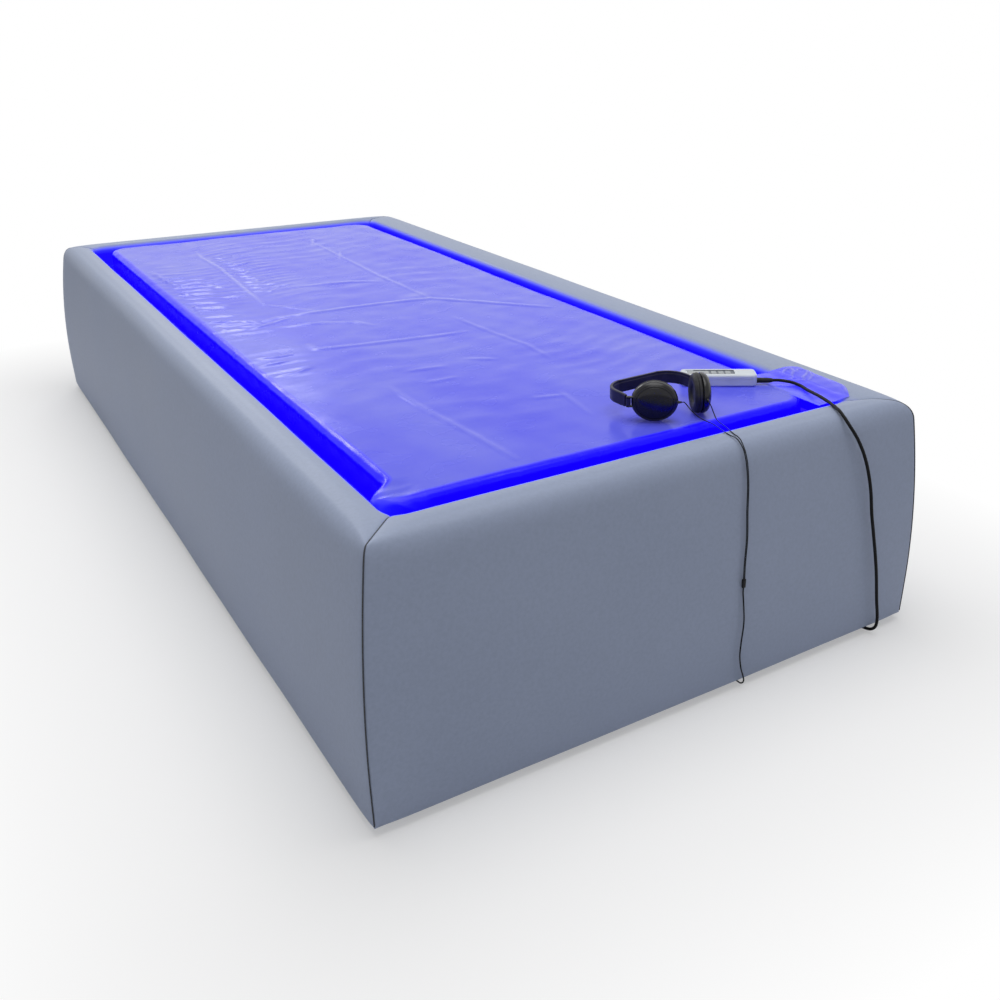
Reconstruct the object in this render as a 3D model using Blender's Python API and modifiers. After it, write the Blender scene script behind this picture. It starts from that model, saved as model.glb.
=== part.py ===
"""Dry float bed: upholstered walls, heated tub, lift platform, lit film, handset and headphones."""
import math

import bmesh
import bpy
from mathutils import Matrix, Vector

# Overall sizes in metres, with the floor at z = 0, the head end at +Y and the foot end at -Y
BED_LENGTH = 2.40
BED_WIDTH = 1.10
RIM_TOP = 0.446
FLOOR_GAP = 0.015
FIT_GAP = 0.0003
CUT_OVER = 0.050

# Upholstered walls
PAD_OUTER = 0.045
BOARD_THICK = 0.018
INNER_FACE = 0.108
TOP_FOAM = 0.045
RIM_LEAN = 0.037
LEAN_DROP = 0.366
ROUND_HEIGHT = 0.028
ROUND_WIDTH = 0.028
INNER_ROUND = 0.016
SEAM_DRAW = 0.005
MITRE_GAP = 0.0004

# Carcass below the tub
BASE_THICK = 0.018
CABLE_GAP = 0.040
RIB_THICK = 0.030
RIB_HEIGHT = 0.1414
RIB_SHARE = 0.275
DECK_THICK = 0.018
INSULATION_THICK = 0.020
HEATER_THICK = 0.003
HEATER_MARGIN = 0.050
HEATER_CORNER = 0.030
GLIDE_RADIUS = 0.025

# Tub, film and lights
TUB_THICK = 0.004
TUB_INSET = 0.140
TUB_CORNER = 0.060
FLANGE_CORNER = 0.020
FLANGE_DROP = 0.0615
RAIL_WIDTH = 0.040
RAIL_HEIGHT = 0.045
RAIL_END_GAP = 0.040
FILM_DROP = 0.005
FILM_THICK = 0.0008
FILM_INSET = 0.148
FILM_CORNER = 0.055
FILM_FLANGE = 0.036
FILM_ROUND = 0.012
FILM_REST_GAP = 0.0007
LIGHT_WIDTH = 0.022
LIGHT_HEIGHT = 0.013
LIGHT_SIDE_GAP = 0.007
LIGHT_END_GAP = 0.030
LIGHT_ROUND = 0.004

# Lift platform and its air cells
PLATFORM_INSET = 0.156
PLATFORM_THICK = 0.015
PLATFORM_PAD = 0.046
PLATFORM_CORNER = 0.050
PAD_TOP_ROUND = 0.008
PAD_BOTTOM_ROUND = 0.004
CELL_END_GAP = 0.242
CELL_SIDE_GAP = 0.032
CELL_MIDDLE_GAP = 0.040
CELL_CORNER = 0.060
CELL_ROUND = 0.035
PIPE_RADIUS = 0.010
PIPE_SPACING = 0.14
PUMP_SIZE = (0.22, 0.24, 0.1164)
PUMP_Y = 0.20

# Control box and mains inlet
CONTROL_SIZE = (0.38, 0.16, 0.090)
CONTROL_SIDE = 0.280
CONTROL_INSET = 0.150
SOCKET_HEIGHT = 0.075
SOCKET_DEPTH = 0.025
HANDSET_SOCKET = (0.0035, 0.030)
PHONES_SOCKET = (0.0021, 0.060)
INLET_SIZE = (0.070, 0.046)
INLET_HEIGHT = 0.085
INLET_DEPTH = 0.050
INLET_PLATE = 0.003
INLET_MARGIN = 0.006
SWITCH_SIZE = (0.013, 0.007, 0.0204)
SWITCH_X = 0.018
SWITCH_SETBACK = 0.002
SWITCH_CLEAR = (0.0005, 0.0010)
SOCKET_X = -0.012
SOCKET_HALF = (0.0125, 0.0085)
SOCKET_CORNER = 0.004
POCKET_DEPTH = 0.010
MAINS_DEPTH = 0.020

# Handset, lying on the film
HANDSET_LENGTH = 0.142
HANDSET_WIDTH = 0.042
HANDSET_HEIGHT = 0.022
HANDSET_SPLIT = 0.013
HANDSET_CORNER = 0.009
HANDSET_SIDE = 0.2405
HANDSET_INSET = 0.3063
HANDSET_TURN = math.radians(-32.3)
KEY_PITCH = 0.0135
KEY_SIZE = (0.0099, 0.0174)
KEY_TRAVEL = 0.0008
BOOT_LENGTH = 0.030
BOOT_RADIUS = 0.005
BOOT_SIDE = 0.0065
BOOT_HEIGHT = 0.0075

# Headphones, lying on the film with both cups part folded
PHONES_SIDE = 0.4222
PHONES_INSET = 0.2368
PHONES_TURN = math.radians(2.6)
PHONES_HALF_WIDTH = 0.0782
BAND_DEPTH = 0.073
BAND_CORNER = 0.039
BAND_HEIGHT = 0.0225
BAND_THICK = 0.0056
ARM_LENGTH = 0.030
ARM_THICK = 0.0020
ARM_HEIGHT = 0.012
KNUCKLE_RADIUS = 0.0042
KNUCKLE_HEIGHT = 0.013
CUP_LENGTH = 0.080
CUP_HEIGHT = 0.070
CUP_START = 0.0046
CUP_HINGE_OFFSET = 0.004
GLAND_LENGTH = 0.006
LEFT_FOLD = math.radians(52.0)
RIGHT_FOLD = math.radians(30.0)

# Cords
HANDSET_CORD = 0.006
LEAD_DIAMETER = 0.0018
LEAD_SPACING = 0.0026
TRUNK_DIAMETER = 0.0026
CORD_POINTS = 78
PLUG_LENGTH = 0.030
JACK_LENGTH = 0.040
SPLIT_SIZE = (0.0064, 0.0044, 0.016)
SPLIT_PLACE = (-0.0006, 0.0012)
SPLIT_DROP = 0.2358

# Heights and faces that follow from the sizes
FOOT_FACE = -BED_LENGTH / 2
HEAD_FACE = BED_LENGTH / 2
BOARD_OUTER = PAD_OUTER + FIT_GAP
BOARD_INNER = BOARD_OUTER + BOARD_THICK
BAY_INSET = BOARD_INNER + FIT_GAP
BOARD_BOTTOM = FLOOR_GAP + FIT_GAP
BOARD_TOP = RIM_TOP - TOP_FOAM
BASE_TOP = BOARD_BOTTOM + BASE_THICK
RIB_BOTTOM = BASE_TOP + FIT_GAP
RIB_TOP = RIB_BOTTOM + RIB_HEIGHT
DECK_BOTTOM = RIB_TOP + FIT_GAP
DECK_TOP = DECK_BOTTOM + DECK_THICK
INSULATION_BOTTOM = DECK_TOP + FIT_GAP
INSULATION_TOP = INSULATION_BOTTOM + INSULATION_THICK
HEATER_BOTTOM = INSULATION_TOP + FIT_GAP
HEATER_TOP = HEATER_BOTTOM + HEATER_THICK
TUB_BOTTOM = HEATER_TOP + FIT_GAP
TUB_FLOOR = TUB_BOTTOM + TUB_THICK
FLANGE_TOP = RIM_TOP - FLANGE_DROP
FLANGE_BOTTOM = FLANGE_TOP - TUB_THICK
FILM_TOP = RIM_TOP - FILM_DROP
FILM_BASE = FLANGE_TOP + FIT_GAP
PLATFORM_PAD_TOP = FILM_TOP - FILM_THICK - FILM_REST_GAP
PLATFORM_TOP = PLATFORM_PAD_TOP - PLATFORM_PAD - FIT_GAP
PLATFORM_BOTTOM = PLATFORM_TOP - PLATFORM_THICK
REST_TOP = FILM_TOP + FIT_GAP
CUP_MIDDLE = REST_TOP + CUP_HEIGHT / 2
CONTROL_FACE = FOOT_FACE + CONTROL_INSET
CONTROL_X = BED_WIDTH / 2 - CONTROL_SIDE
HANDSET_X = BED_WIDTH / 2 - HANDSET_SIDE
PHONES_X = BED_WIDTH / 2 - PHONES_SIDE

COLLECTION = "dry_float_bed"
CUTTERS = "cutters"

COLOURS = {
    "padding": ((0.19, 0.21, 0.25), 0.55, 0.0),
    "board": ((0.48, 0.34, 0.20), 0.75, 0.0),
    "deck": ((0.42, 0.30, 0.18), 0.75, 0.0),
    "insulation": ((0.75, 0.78, 0.70), 0.85, 0.0),
    "heater": ((0.10, 0.06, 0.05), 0.60, 0.0),
    "tub": ((0.80, 0.82, 0.84), 0.40, 0.0),
    "film": ((0.28, 0.28, 0.90), 0.20, 0.0),
    "light": ((0.02, 0.0, 1.0), 0.35, 0.0),
    "foam": ((0.82, 0.80, 0.72), 0.90, 0.0),
    "rubber": ((0.05, 0.05, 0.05), 0.70, 0.0),
    "case": ((0.16, 0.17, 0.18), 0.45, 0.0),
    "white": ((0.80, 0.82, 0.82), 0.35, 0.0),
    "key": ((0.40, 0.42, 0.44), 0.50, 0.0),
    "window": ((0.12, 0.14, 0.15), 0.15, 0.0),
    "black": ((0.015, 0.015, 0.02), 0.40, 0.0),
    "cushion": ((0.02, 0.02, 0.022), 0.75, 0.0),
    "metal": ((0.55, 0.56, 0.58), 0.35, 1.0),
}


def clear_scene():
    """Remove every object that the scene starts with."""
    for existing in list(bpy.data.objects):
        bpy.data.objects.remove(existing, do_unlink=True)


def make_collection(name):
    """Return a new collection linked to the scene."""
    made = bpy.data.collections.new(name)
    bpy.context.scene.collection.children.link(made)
    return made


def make_material(name, look):
    """Return a Principled material with the named colour entry."""
    colour, roughness, metallic = COLOURS[look]
    material = bpy.data.materials.new(name)
    material.use_nodes = True
    shader = material.node_tree.nodes["Principled BSDF"]
    shader.inputs["Base Color"].default_value = (*colour, 1.0)
    shader.inputs["Roughness"].default_value = roughness
    shader.inputs["Metallic"].default_value = metallic
    material.diffuse_color = (*colour, 1.0)
    return material


def move_to(piece, collection_name):
    """Put an object in one named collection only."""
    for holder in list(piece.users_collection):
        holder.objects.unlink(piece)
    bpy.data.collections[collection_name].objects.link(piece)


def bake(piece):
    """Replace an object's data by the mesh that its modifiers give."""
    graph = bpy.context.evaluated_depsgraph_get()
    mesh = bpy.data.meshes.new_from_object(piece.evaluated_get(graph))
    piece.modifiers.clear()
    piece.data = mesh
    return piece


def tidy_mesh(piece, merge=0.00001):
    """Merge doubled points and turn all faces outward."""
    shape = bmesh.new()
    shape.from_mesh(piece.data)
    bmesh.ops.remove_doubles(shape, verts=shape.verts, dist=merge)
    bmesh.ops.recalc_face_normals(shape, faces=shape.faces)
    shape.to_mesh(piece.data)
    shape.free()
    return piece


def finish(piece, name, look, origin=None):
    """Name a finished piece, give it its own material and set its origin."""
    piece.name = name
    piece.data.name = name
    piece.data.materials.clear()
    piece.data.materials.append(make_material(name, look))
    if origin is not None:
        place = Vector(origin)
        piece.data.transform(Matrix.Translation(-place))
        piece.location = place
    move_to(piece, COLLECTION)
    return piece


def cube(low, high):
    """Return a box between two corners, with its scale applied."""
    low = Vector(low)
    high = Vector(high)
    bpy.ops.mesh.primitive_cube_add(size=1.0, location=(low + high) / 2)
    piece = bpy.context.object
    piece.scale = high - low
    bpy.ops.object.transform_apply(location=True, rotation=True, scale=True)
    return piece


def rounded_cube(low, high, radius, segments=2):
    """Return a box with all edges rounded by the Bevel modifier."""
    piece = cube(low, high)
    modifier = piece.modifiers.new("Bevel", "BEVEL")
    modifier.width = radius
    modifier.segments = segments
    modifier.limit_method = "ANGLE"
    return bake(piece)


def rod(radius, length, centre, axis="Z", vertices=24):
    """Return a cylinder along one axis."""
    turns = {"X": (0.0, math.pi / 2, 0.0), "Y": (math.pi / 2, 0.0, 0.0), "Z": (0.0, 0.0, 0.0)}
    bpy.ops.mesh.primitive_cylinder_add(
        vertices=vertices, radius=radius, depth=length, location=centre, rotation=turns[axis]
    )
    bpy.ops.object.transform_apply(location=True, rotation=True, scale=True)
    return bpy.context.object


def prism(half_x, half_y, corner, bottom, top, top_round=0.0, bottom_round=0.0, segments=5):
    """Return a block with rounded plan corners and rounded upper and lower edges."""
    piece = cube((-half_x, -half_y, bottom), (half_x, half_y, top))
    shape = bmesh.new()
    shape.from_mesh(piece.data)
    upright = [edge for edge in shape.edges if abs(edge.verts[0].co.z - edge.verts[1].co.z) > 1e-6]
    bmesh.ops.bevel(
        shape, geom=upright, offset=corner, segments=segments, affect="EDGES", profile=0.5
    )
    for height, radius in ((top, top_round), (bottom, bottom_round)):
        if radius > 0.0:
            rim = [
                edge for edge in shape.edges
                if all(abs(vert.co.z - height) < 1e-6 for vert in edge.verts)
            ]
            bmesh.ops.bevel(shape, geom=rim, offset=radius, segments=3, affect="EDGES", profile=0.5)
    shape.to_mesh(piece.data)
    shape.free()
    return tidy_mesh(piece)


def turned(profile, steps=32, closed=False):
    """Return a body turned about Z from (radius, height) points with the Screw modifier."""
    mesh = bpy.data.meshes.new("profile")
    points = [(radius, 0.0, height) for radius, height in profile]
    edges = [(index, index + 1) for index in range(len(points) - 1)]
    if closed:
        edges.append((len(points) - 1, 0))
    mesh.from_pydata(points, edges, [])
    piece = bpy.data.objects.new("profile", mesh)
    bpy.context.scene.collection.objects.link(piece)
    screw = piece.modifiers.new("Screw", "SCREW")
    screw.axis = "Z"
    screw.steps = steps
    screw.render_steps = steps
    screw.use_merge_vertices = True
    screw.merge_threshold = 0.00001
    bake(piece)
    return tidy_mesh(piece)


def combine(piece, other, operation):
    """Apply a Boolean with another object, keep a cutter hidden and drop a joined piece."""
    modifier = piece.modifiers.new("Boolean", "BOOLEAN")
    modifier.operation = operation
    modifier.solver = "EXACT"
    modifier.object = other
    bpy.context.view_layer.update()
    bake(piece)
    if operation == "DIFFERENCE":
        other.hide_render = True
        other.display_type = "WIRE"
        other.name = "cutter"
        move_to(other, CUTTERS)
    else:
        bpy.data.objects.remove(other, do_unlink=True)
    return tidy_mesh(piece)


def smooth_points(points, count):
    """Return evenly weighted points on a smooth curve through the route, closer on bends."""
    route = [Vector(point) for point in points]
    ends = [route[0] * 2 - route[1]] + route + [route[-1] * 2 - route[-2]]
    fine = []
    for index in range(1, len(ends) - 2):
        before, start, stop, after = ends[index - 1:index + 3]
        for step in range(24):
            part = step / 24
            straight = start * 2
            linear = (stop - before) * part
            square = (before * 2 - start * 5 + stop * 4 - after) * part ** 2
            cubic = (start * 3 - before - stop * 3 + after) * part ** 3
            fine.append((straight + linear + square + cubic) / 2)
    fine.append(route[-1])
    weights = [0.0]
    for index in range(1, len(fine)):
        ahead = fine[min(index + 1, len(fine) - 1)] - fine[index]
        behind = fine[index] - fine[index - 1]
        bend = ahead.angle(behind, 0.0)
        weights.append(weights[-1] + behind.length + 0.012 * bend)
    chosen = []
    place = 0
    for index in range(count):
        target = weights[-1] * index / (count - 1)
        while place < len(weights) - 2 and weights[place + 1] < target:
            place += 1
        span = max(weights[place + 1] - weights[place], 1e-12)
        part = min(max((target - weights[place]) / span, 0.0), 1.0)
        chosen.append(fine[place].lerp(fine[place + 1], part))
    return chosen


def tube(points, diameter, count=CORD_POINTS):
    """Return a capped round tube along a smooth curve through the route points."""
    curve = bpy.data.curves.new("route", "CURVE")
    curve.dimensions = "3D"
    curve.bevel_depth = diameter / 2
    curve.bevel_resolution = 2
    curve.use_fill_caps = True
    spline = curve.splines.new("POLY")
    samples = smooth_points(points, count)
    spline.points.add(len(samples) - 1)
    for knot, sample in zip(spline.points, samples):
        knot.co = (*sample, 1.0)
    piece = bpy.data.objects.new("route", curve)
    bpy.context.scene.collection.objects.link(piece)
    graph = bpy.context.evaluated_depsgraph_get()
    mesh = bpy.data.meshes.new_from_object(piece.evaluated_get(graph))
    bpy.data.objects.remove(piece, do_unlink=True)
    made = bpy.data.objects.new("tube", mesh)
    bpy.context.scene.collection.objects.link(made)
    return tidy_mesh(made, 0.000005)


def on_side(side, along, inset, height):
    """Return a point given along one wall, inward from its outer face, and up from the floor."""
    if side == "foot":
        return Vector((along, FOOT_FACE + inset, height))
    if side == "head":
        return Vector((-along, HEAD_FACE - inset, height))
    if side == "left":
        return Vector((inset - BED_WIDTH / 2, -along, height))
    return Vector((BED_WIDTH / 2 - inset, along, height))


def half_run(side):
    """Return half the outer length of one wall."""
    return BED_WIDTH / 2 if side in ("foot", "head") else BED_LENGTH / 2


def rim_section():
    """Return the outline of a wall padding, with the visible points first, as (inset, height)."""
    lean_low = RIM_TOP - LEAN_DROP
    lean_high = RIM_TOP - ROUND_HEIGHT
    outline = [(0.0, FLOOR_GAP), (0.0, (FLOOR_GAP + lean_low) / 2)]
    for step in range(6):
        part = step / 5
        outline.append((RIM_LEAN * part ** 2, lean_low + (lean_high - lean_low) * part))
    for step in range(1, 6):
        turn = math.pi / 2 * step / 5
        outline.append((
            RIM_LEAN + ROUND_WIDTH * (1 - math.cos(turn)),
            lean_high + ROUND_HEIGHT * math.sin(turn),
        ))
    for step in range(5):
        turn = math.pi / 2 * step / 4
        outline.append((
            INNER_FACE - INNER_ROUND * (1 - math.sin(turn)),
            RIM_TOP - INNER_ROUND * (1 - math.cos(turn)),
        ))
    outline.append((INNER_FACE, FLANGE_TOP + FIT_GAP))
    visible = len(outline)
    outline.append((BOARD_INNER + FIT_GAP, FLANGE_TOP + FIT_GAP))
    outline.append((BOARD_INNER + FIT_GAP, BOARD_TOP + FIT_GAP))
    outline.append((PAD_OUTER, BOARD_TOP + FIT_GAP))
    outline.append((PAD_OUTER, FLOOR_GAP))
    return outline, visible


def drawn_section(draw):
    """Return the outline with its visible points drawn inward by a given amount."""
    outline, visible = rim_section()
    drawn = []
    for index, (inset, height) in enumerate(outline):
        if 0 < index < visible - 1:
            ahead = Vector(outline[index + 1])
            behind = Vector(outline[index - 1])
            run = (ahead - behind).normalized()
            drawn.append((inset + draw * run.y, height - draw * run.x))
        elif index == 0:
            drawn.append((inset + draw, height))
        elif index == visible - 1:
            drawn.append((inset - draw, height))
        else:
            drawn.append((inset, height))
    return drawn


def wall_padding(side):
    """Return one mitred wall padding, drawn in where it meets its neighbours."""
    steps = ((0.0, 1.0), (0.004, 0.4), (0.012, 0.1), (0.040, 0.0))
    stations = [(1, distance, draw) for distance, draw in steps]
    stations += [(-1, distance, draw) for distance, draw in reversed(steps)]
    shape = bmesh.new()
    first = None
    last = None
    for end, distance, draw in stations:
        ring = []
        for inset, height in drawn_section(SEAM_DRAW * draw):
            along = -end * (half_run(side) - inset - MITRE_GAP - distance)
            ring.append(shape.verts.new(on_side(side, along, inset, height)))
        edges = [shape.edges.new((ring[index - 1], ring[index])) for index in range(len(ring))]
        if last is not None:
            bmesh.ops.bridge_loops(shape, edges=last + edges)
        else:
            first = edges
        last = edges
    bmesh.ops.holes_fill(shape, edges=first + last, sides=0)
    bmesh.ops.recalc_face_normals(shape, faces=shape.faces)
    mesh = bpy.data.meshes.new("padding")
    shape.to_mesh(mesh)
    shape.free()
    piece = bpy.data.objects.new("padding", mesh)
    bpy.context.scene.collection.objects.link(piece)
    return piece


def build_walls():
    """Build the four boards and the four paddings over them."""
    recess_x = INLET_SIZE[0] / 2 + INLET_MARGIN
    recess_z = INLET_SIZE[1] / 2 + INLET_MARGIN
    body_x = INLET_SIZE[0] / 2 - INLET_MARGIN + FIT_GAP
    body_z = INLET_SIZE[1] / 2 - INLET_MARGIN + FIT_GAP
    for side in ("left", "right", "head", "foot"):
        run = half_run(side)
        if side in ("head", "foot"):
            reach = run - BOARD_OUTER
        else:
            reach = run - BOARD_INNER - FIT_GAP
        corner_a = on_side(side, -reach, BOARD_OUTER, BOARD_BOTTOM)
        corner_b = on_side(side, reach, BOARD_INNER, BOARD_TOP)
        low = [min(pair) for pair in zip(corner_a, corner_b)]
        high = [max(pair) for pair in zip(corner_a, corner_b)]
        board = cube(low, high)
        padding = wall_padding(side)
        if side == "head":
            hole = cube(
                (-body_x, HEAD_FACE - INNER_FACE, INLET_HEIGHT - body_z),
                (body_x, HEAD_FACE, INLET_HEIGHT + body_z),
            )
            combine(board, hole, "DIFFERENCE")
            recess = cube(
                (-recess_x, HEAD_FACE - INNER_FACE, INLET_HEIGHT - recess_z),
                (recess_x, HEAD_FACE + PAD_OUTER, INLET_HEIGHT + recess_z),
            )
            combine(padding, recess, "DIFFERENCE")
        finish(board, side + "_board", "board")
        finish(padding, side + "_padding", "padding")


def build_carcass():
    """Build the glides, base, ribs, deck, insulation and heater mat under the tub."""
    half_bay_x = BED_WIDTH / 2 - BAY_INSET
    half_bay_y = BED_LENGTH / 2 - BAY_INSET
    base = cube(
        (-half_bay_x, -half_bay_y + CABLE_GAP, BOARD_BOTTOM), (half_bay_x, half_bay_y, BASE_TOP)
    )
    finish(base, "base_board", "board")
    glide_x = half_bay_x - 0.08
    glide_y = half_bay_y - 0.14
    number = 0
    for across in (-glide_x, glide_x):
        for along in (-glide_y, 0.0, glide_y):
            number += 1
            glide = turned((
                (0.0, 0.0), (GLIDE_RADIUS - 0.003, 0.0), (GLIDE_RADIUS, 0.003),
                (GLIDE_RADIUS, FLOOR_GAP), (0.0, FLOOR_GAP),
            ))
            glide.data.transform(Matrix.Translation((across, along, 0.0)))
            finish(glide, "floor_glide_%d" % number, "rubber")
    rib_pitch = BED_LENGTH * RIB_SHARE
    for number, along in enumerate((-rib_pitch, 0.0, rib_pitch), start=1):
        rib = cube(
            (-half_bay_x, along - RIB_THICK / 2, RIB_BOTTOM),
            (half_bay_x, along + RIB_THICK / 2, RIB_TOP),
        )
        finish(rib, "rib_%d" % number, "board")
    half_tub_x = BED_WIDTH / 2 - TUB_INSET
    half_tub_y = BED_LENGTH / 2 - TUB_INSET
    deck = cube((-half_bay_x, -half_bay_y, DECK_BOTTOM), (half_bay_x, half_bay_y, DECK_TOP))
    insulation = cube(
        (-half_tub_x, -half_tub_y, INSULATION_BOTTOM), (half_tub_x, half_tub_y, INSULATION_TOP)
    )
    heater = prism(
        half_tub_x - HEATER_MARGIN, half_tub_y - HEATER_MARGIN, HEATER_CORNER, HEATER_BOTTOM, HEATER_TOP
    )
    for sheet in (deck, insulation, heater):
        cut_pipe_holes(sheet)
    finish(deck, "deck", "deck")
    finish(insulation, "insulation", "insulation")
    finish(heater, "heater_mat", "heater")


def cut_pipe_holes(sheet):
    """Cut the two air pipe holes through a flat piece."""
    middle = (DECK_BOTTOM + TUB_FLOOR) / 2
    for across in (-PIPE_SPACING / 2, PIPE_SPACING / 2):
        drill = rod(PIPE_RADIUS + FIT_GAP, 0.3, (across, PUMP_Y, middle))
        combine(sheet, drill, "DIFFERENCE")


def build_tub():
    """Build the tub with its flange, and the two rails under the flange."""
    half_x = BED_WIDTH / 2
    half_y = BED_LENGTH / 2
    tub = prism(
        half_x - BAY_INSET, half_y - BAY_INSET, FLANGE_CORNER, FLANGE_BOTTOM, FLANGE_TOP
    )
    basin = prism(
        half_x - TUB_INSET, half_y - TUB_INSET, TUB_CORNER, TUB_BOTTOM, FLANGE_TOP - TUB_THICK / 2
    )
    combine(tub, basin, "UNION")
    inside = TUB_INSET + TUB_THICK
    hollow = prism(
        half_x - inside, half_y - inside, TUB_CORNER - TUB_THICK, TUB_FLOOR, FLANGE_TOP + CUT_OVER
    )
    combine(tub, hollow, "DIFFERENCE")
    cut_pipe_holes(tub)
    finish(tub, "water_tub", "tub")
    rail_end = half_y - BAY_INSET - RAIL_END_GAP
    for side, sign in (("left", -1), ("right", 1)):
        outer = sign * (half_x - BAY_INSET)
        inner = outer - sign * RAIL_WIDTH
        rail = cube(
            (min(outer, inner), -rail_end, FLANGE_BOTTOM - FIT_GAP - RAIL_HEIGHT),
            (max(outer, inner), rail_end, FLANGE_BOTTOM - FIT_GAP),
        )
        finish(rail, side + "_tub_rail", "board")


def build_film():
    """Build the film as one sheet: flat top, tucked skirt and clamped flange."""
    half_x = BED_WIDTH / 2
    half_y = BED_LENGTH / 2
    outer = FILM_INSET - FILM_FLANGE
    film = prism(
        half_x - outer, half_y - outer, FILM_CORNER + FILM_FLANGE, FILM_BASE, FILM_BASE + FILM_THICK
    )
    dome = prism(
        half_x - FILM_INSET, half_y - FILM_INSET, FILM_CORNER, FILM_BASE, FILM_TOP, FILM_ROUND
    )
    combine(film, dome, "UNION")
    inside = FILM_INSET + FILM_THICK
    hollow = prism(
        half_x - inside, half_y - inside, FILM_CORNER - FILM_THICK, FILM_BASE - CUT_OVER,
        FILM_TOP - FILM_THICK, FILM_ROUND - FILM_THICK,
    )
    combine(film, hollow, "DIFFERENCE")
    finish(film, "film", "film")


def build_lights():
    """Build the four light bars that clamp the film's flange in the channel."""
    low = FILM_BASE + FILM_THICK + FIT_GAP
    start = INNER_FACE + LIGHT_SIDE_GAP
    for side in ("left", "right", "head", "foot"):
        reach = half_run(side) - start - LIGHT_WIDTH - LIGHT_END_GAP
        corner_a = on_side(side, -reach, start, low)
        corner_b = on_side(side, reach, start + LIGHT_WIDTH, low + LIGHT_HEIGHT)
        lowest = [min(pair) for pair in zip(corner_a, corner_b)]
        highest = [max(pair) for pair in zip(corner_a, corner_b)]
        finish(rounded_cube(lowest, highest, LIGHT_ROUND, 3), side + "_light_bar", "light")


def build_lift():
    """Build the platform, its foam pad, the air cells, the pipes and the pump."""
    half_x = BED_WIDTH / 2 - PLATFORM_INSET
    half_y = BED_LENGTH / 2 - PLATFORM_INSET
    origin = (0.0, 0.0, PLATFORM_BOTTOM)
    platform = prism(half_x, half_y, PLATFORM_CORNER, PLATFORM_BOTTOM, PLATFORM_TOP)
    finish(platform, "lift_platform", "tub", origin)
    pad = prism(
        half_x, half_y, PLATFORM_CORNER, PLATFORM_TOP + FIT_GAP, PLATFORM_PAD_TOP, PAD_TOP_ROUND,
        PAD_BOTTOM_ROUND,
    )
    finish(pad, "platform_pad", "foam", origin)
    cell_top = PLATFORM_BOTTOM - FIT_GAP
    cell_bottom = TUB_FLOOR + FIT_GAP
    cell_round = min(CELL_ROUND, (cell_top - cell_bottom) * 0.4)
    tub_half_x = BED_WIDTH / 2 - TUB_INSET - TUB_THICK
    tub_half_y = BED_LENGTH / 2 - TUB_INSET - TUB_THICK
    cell_half_x = (tub_half_x - CELL_SIDE_GAP - CELL_MIDDLE_GAP / 2) / 2
    cell_half_y = tub_half_y - CELL_END_GAP
    cell_middle = CELL_MIDDLE_GAP / 2 + cell_half_x
    for side, sign in (("left", -1), ("right", 1)):
        cell = prism(
            cell_half_x, cell_half_y, CELL_CORNER, cell_bottom, cell_top, cell_round, cell_round
        )
        cell.data.transform(Matrix.Translation((sign * cell_middle, 0.0, 0.0)))
        finish(cell, side + "_air_cell", "rubber", (sign * cell_middle, 0.0, cell_bottom))
    pump_half = (PUMP_SIZE[0] / 2, PUMP_SIZE[1] / 2)
    pump_top = RIB_BOTTOM + PUMP_SIZE[2]
    pump = rounded_cube(
        (-pump_half[0], PUMP_Y - pump_half[1], RIB_BOTTOM),
        (pump_half[0], PUMP_Y + pump_half[1], pump_top), 0.010, 3,
    )
    finish(pump, "air_pump", "case")
    pipe_low = pump_top + FIT_GAP
    for side, sign in (("left", -1), ("right", 1)):
        pipe = rod(
            PIPE_RADIUS, TUB_FLOOR - pipe_low,
            (sign * PIPE_SPACING / 2, PUMP_Y, (TUB_FLOOR + pipe_low) / 2),
        )
        finish(pipe, side + "_air_pipe", "rubber")


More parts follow.
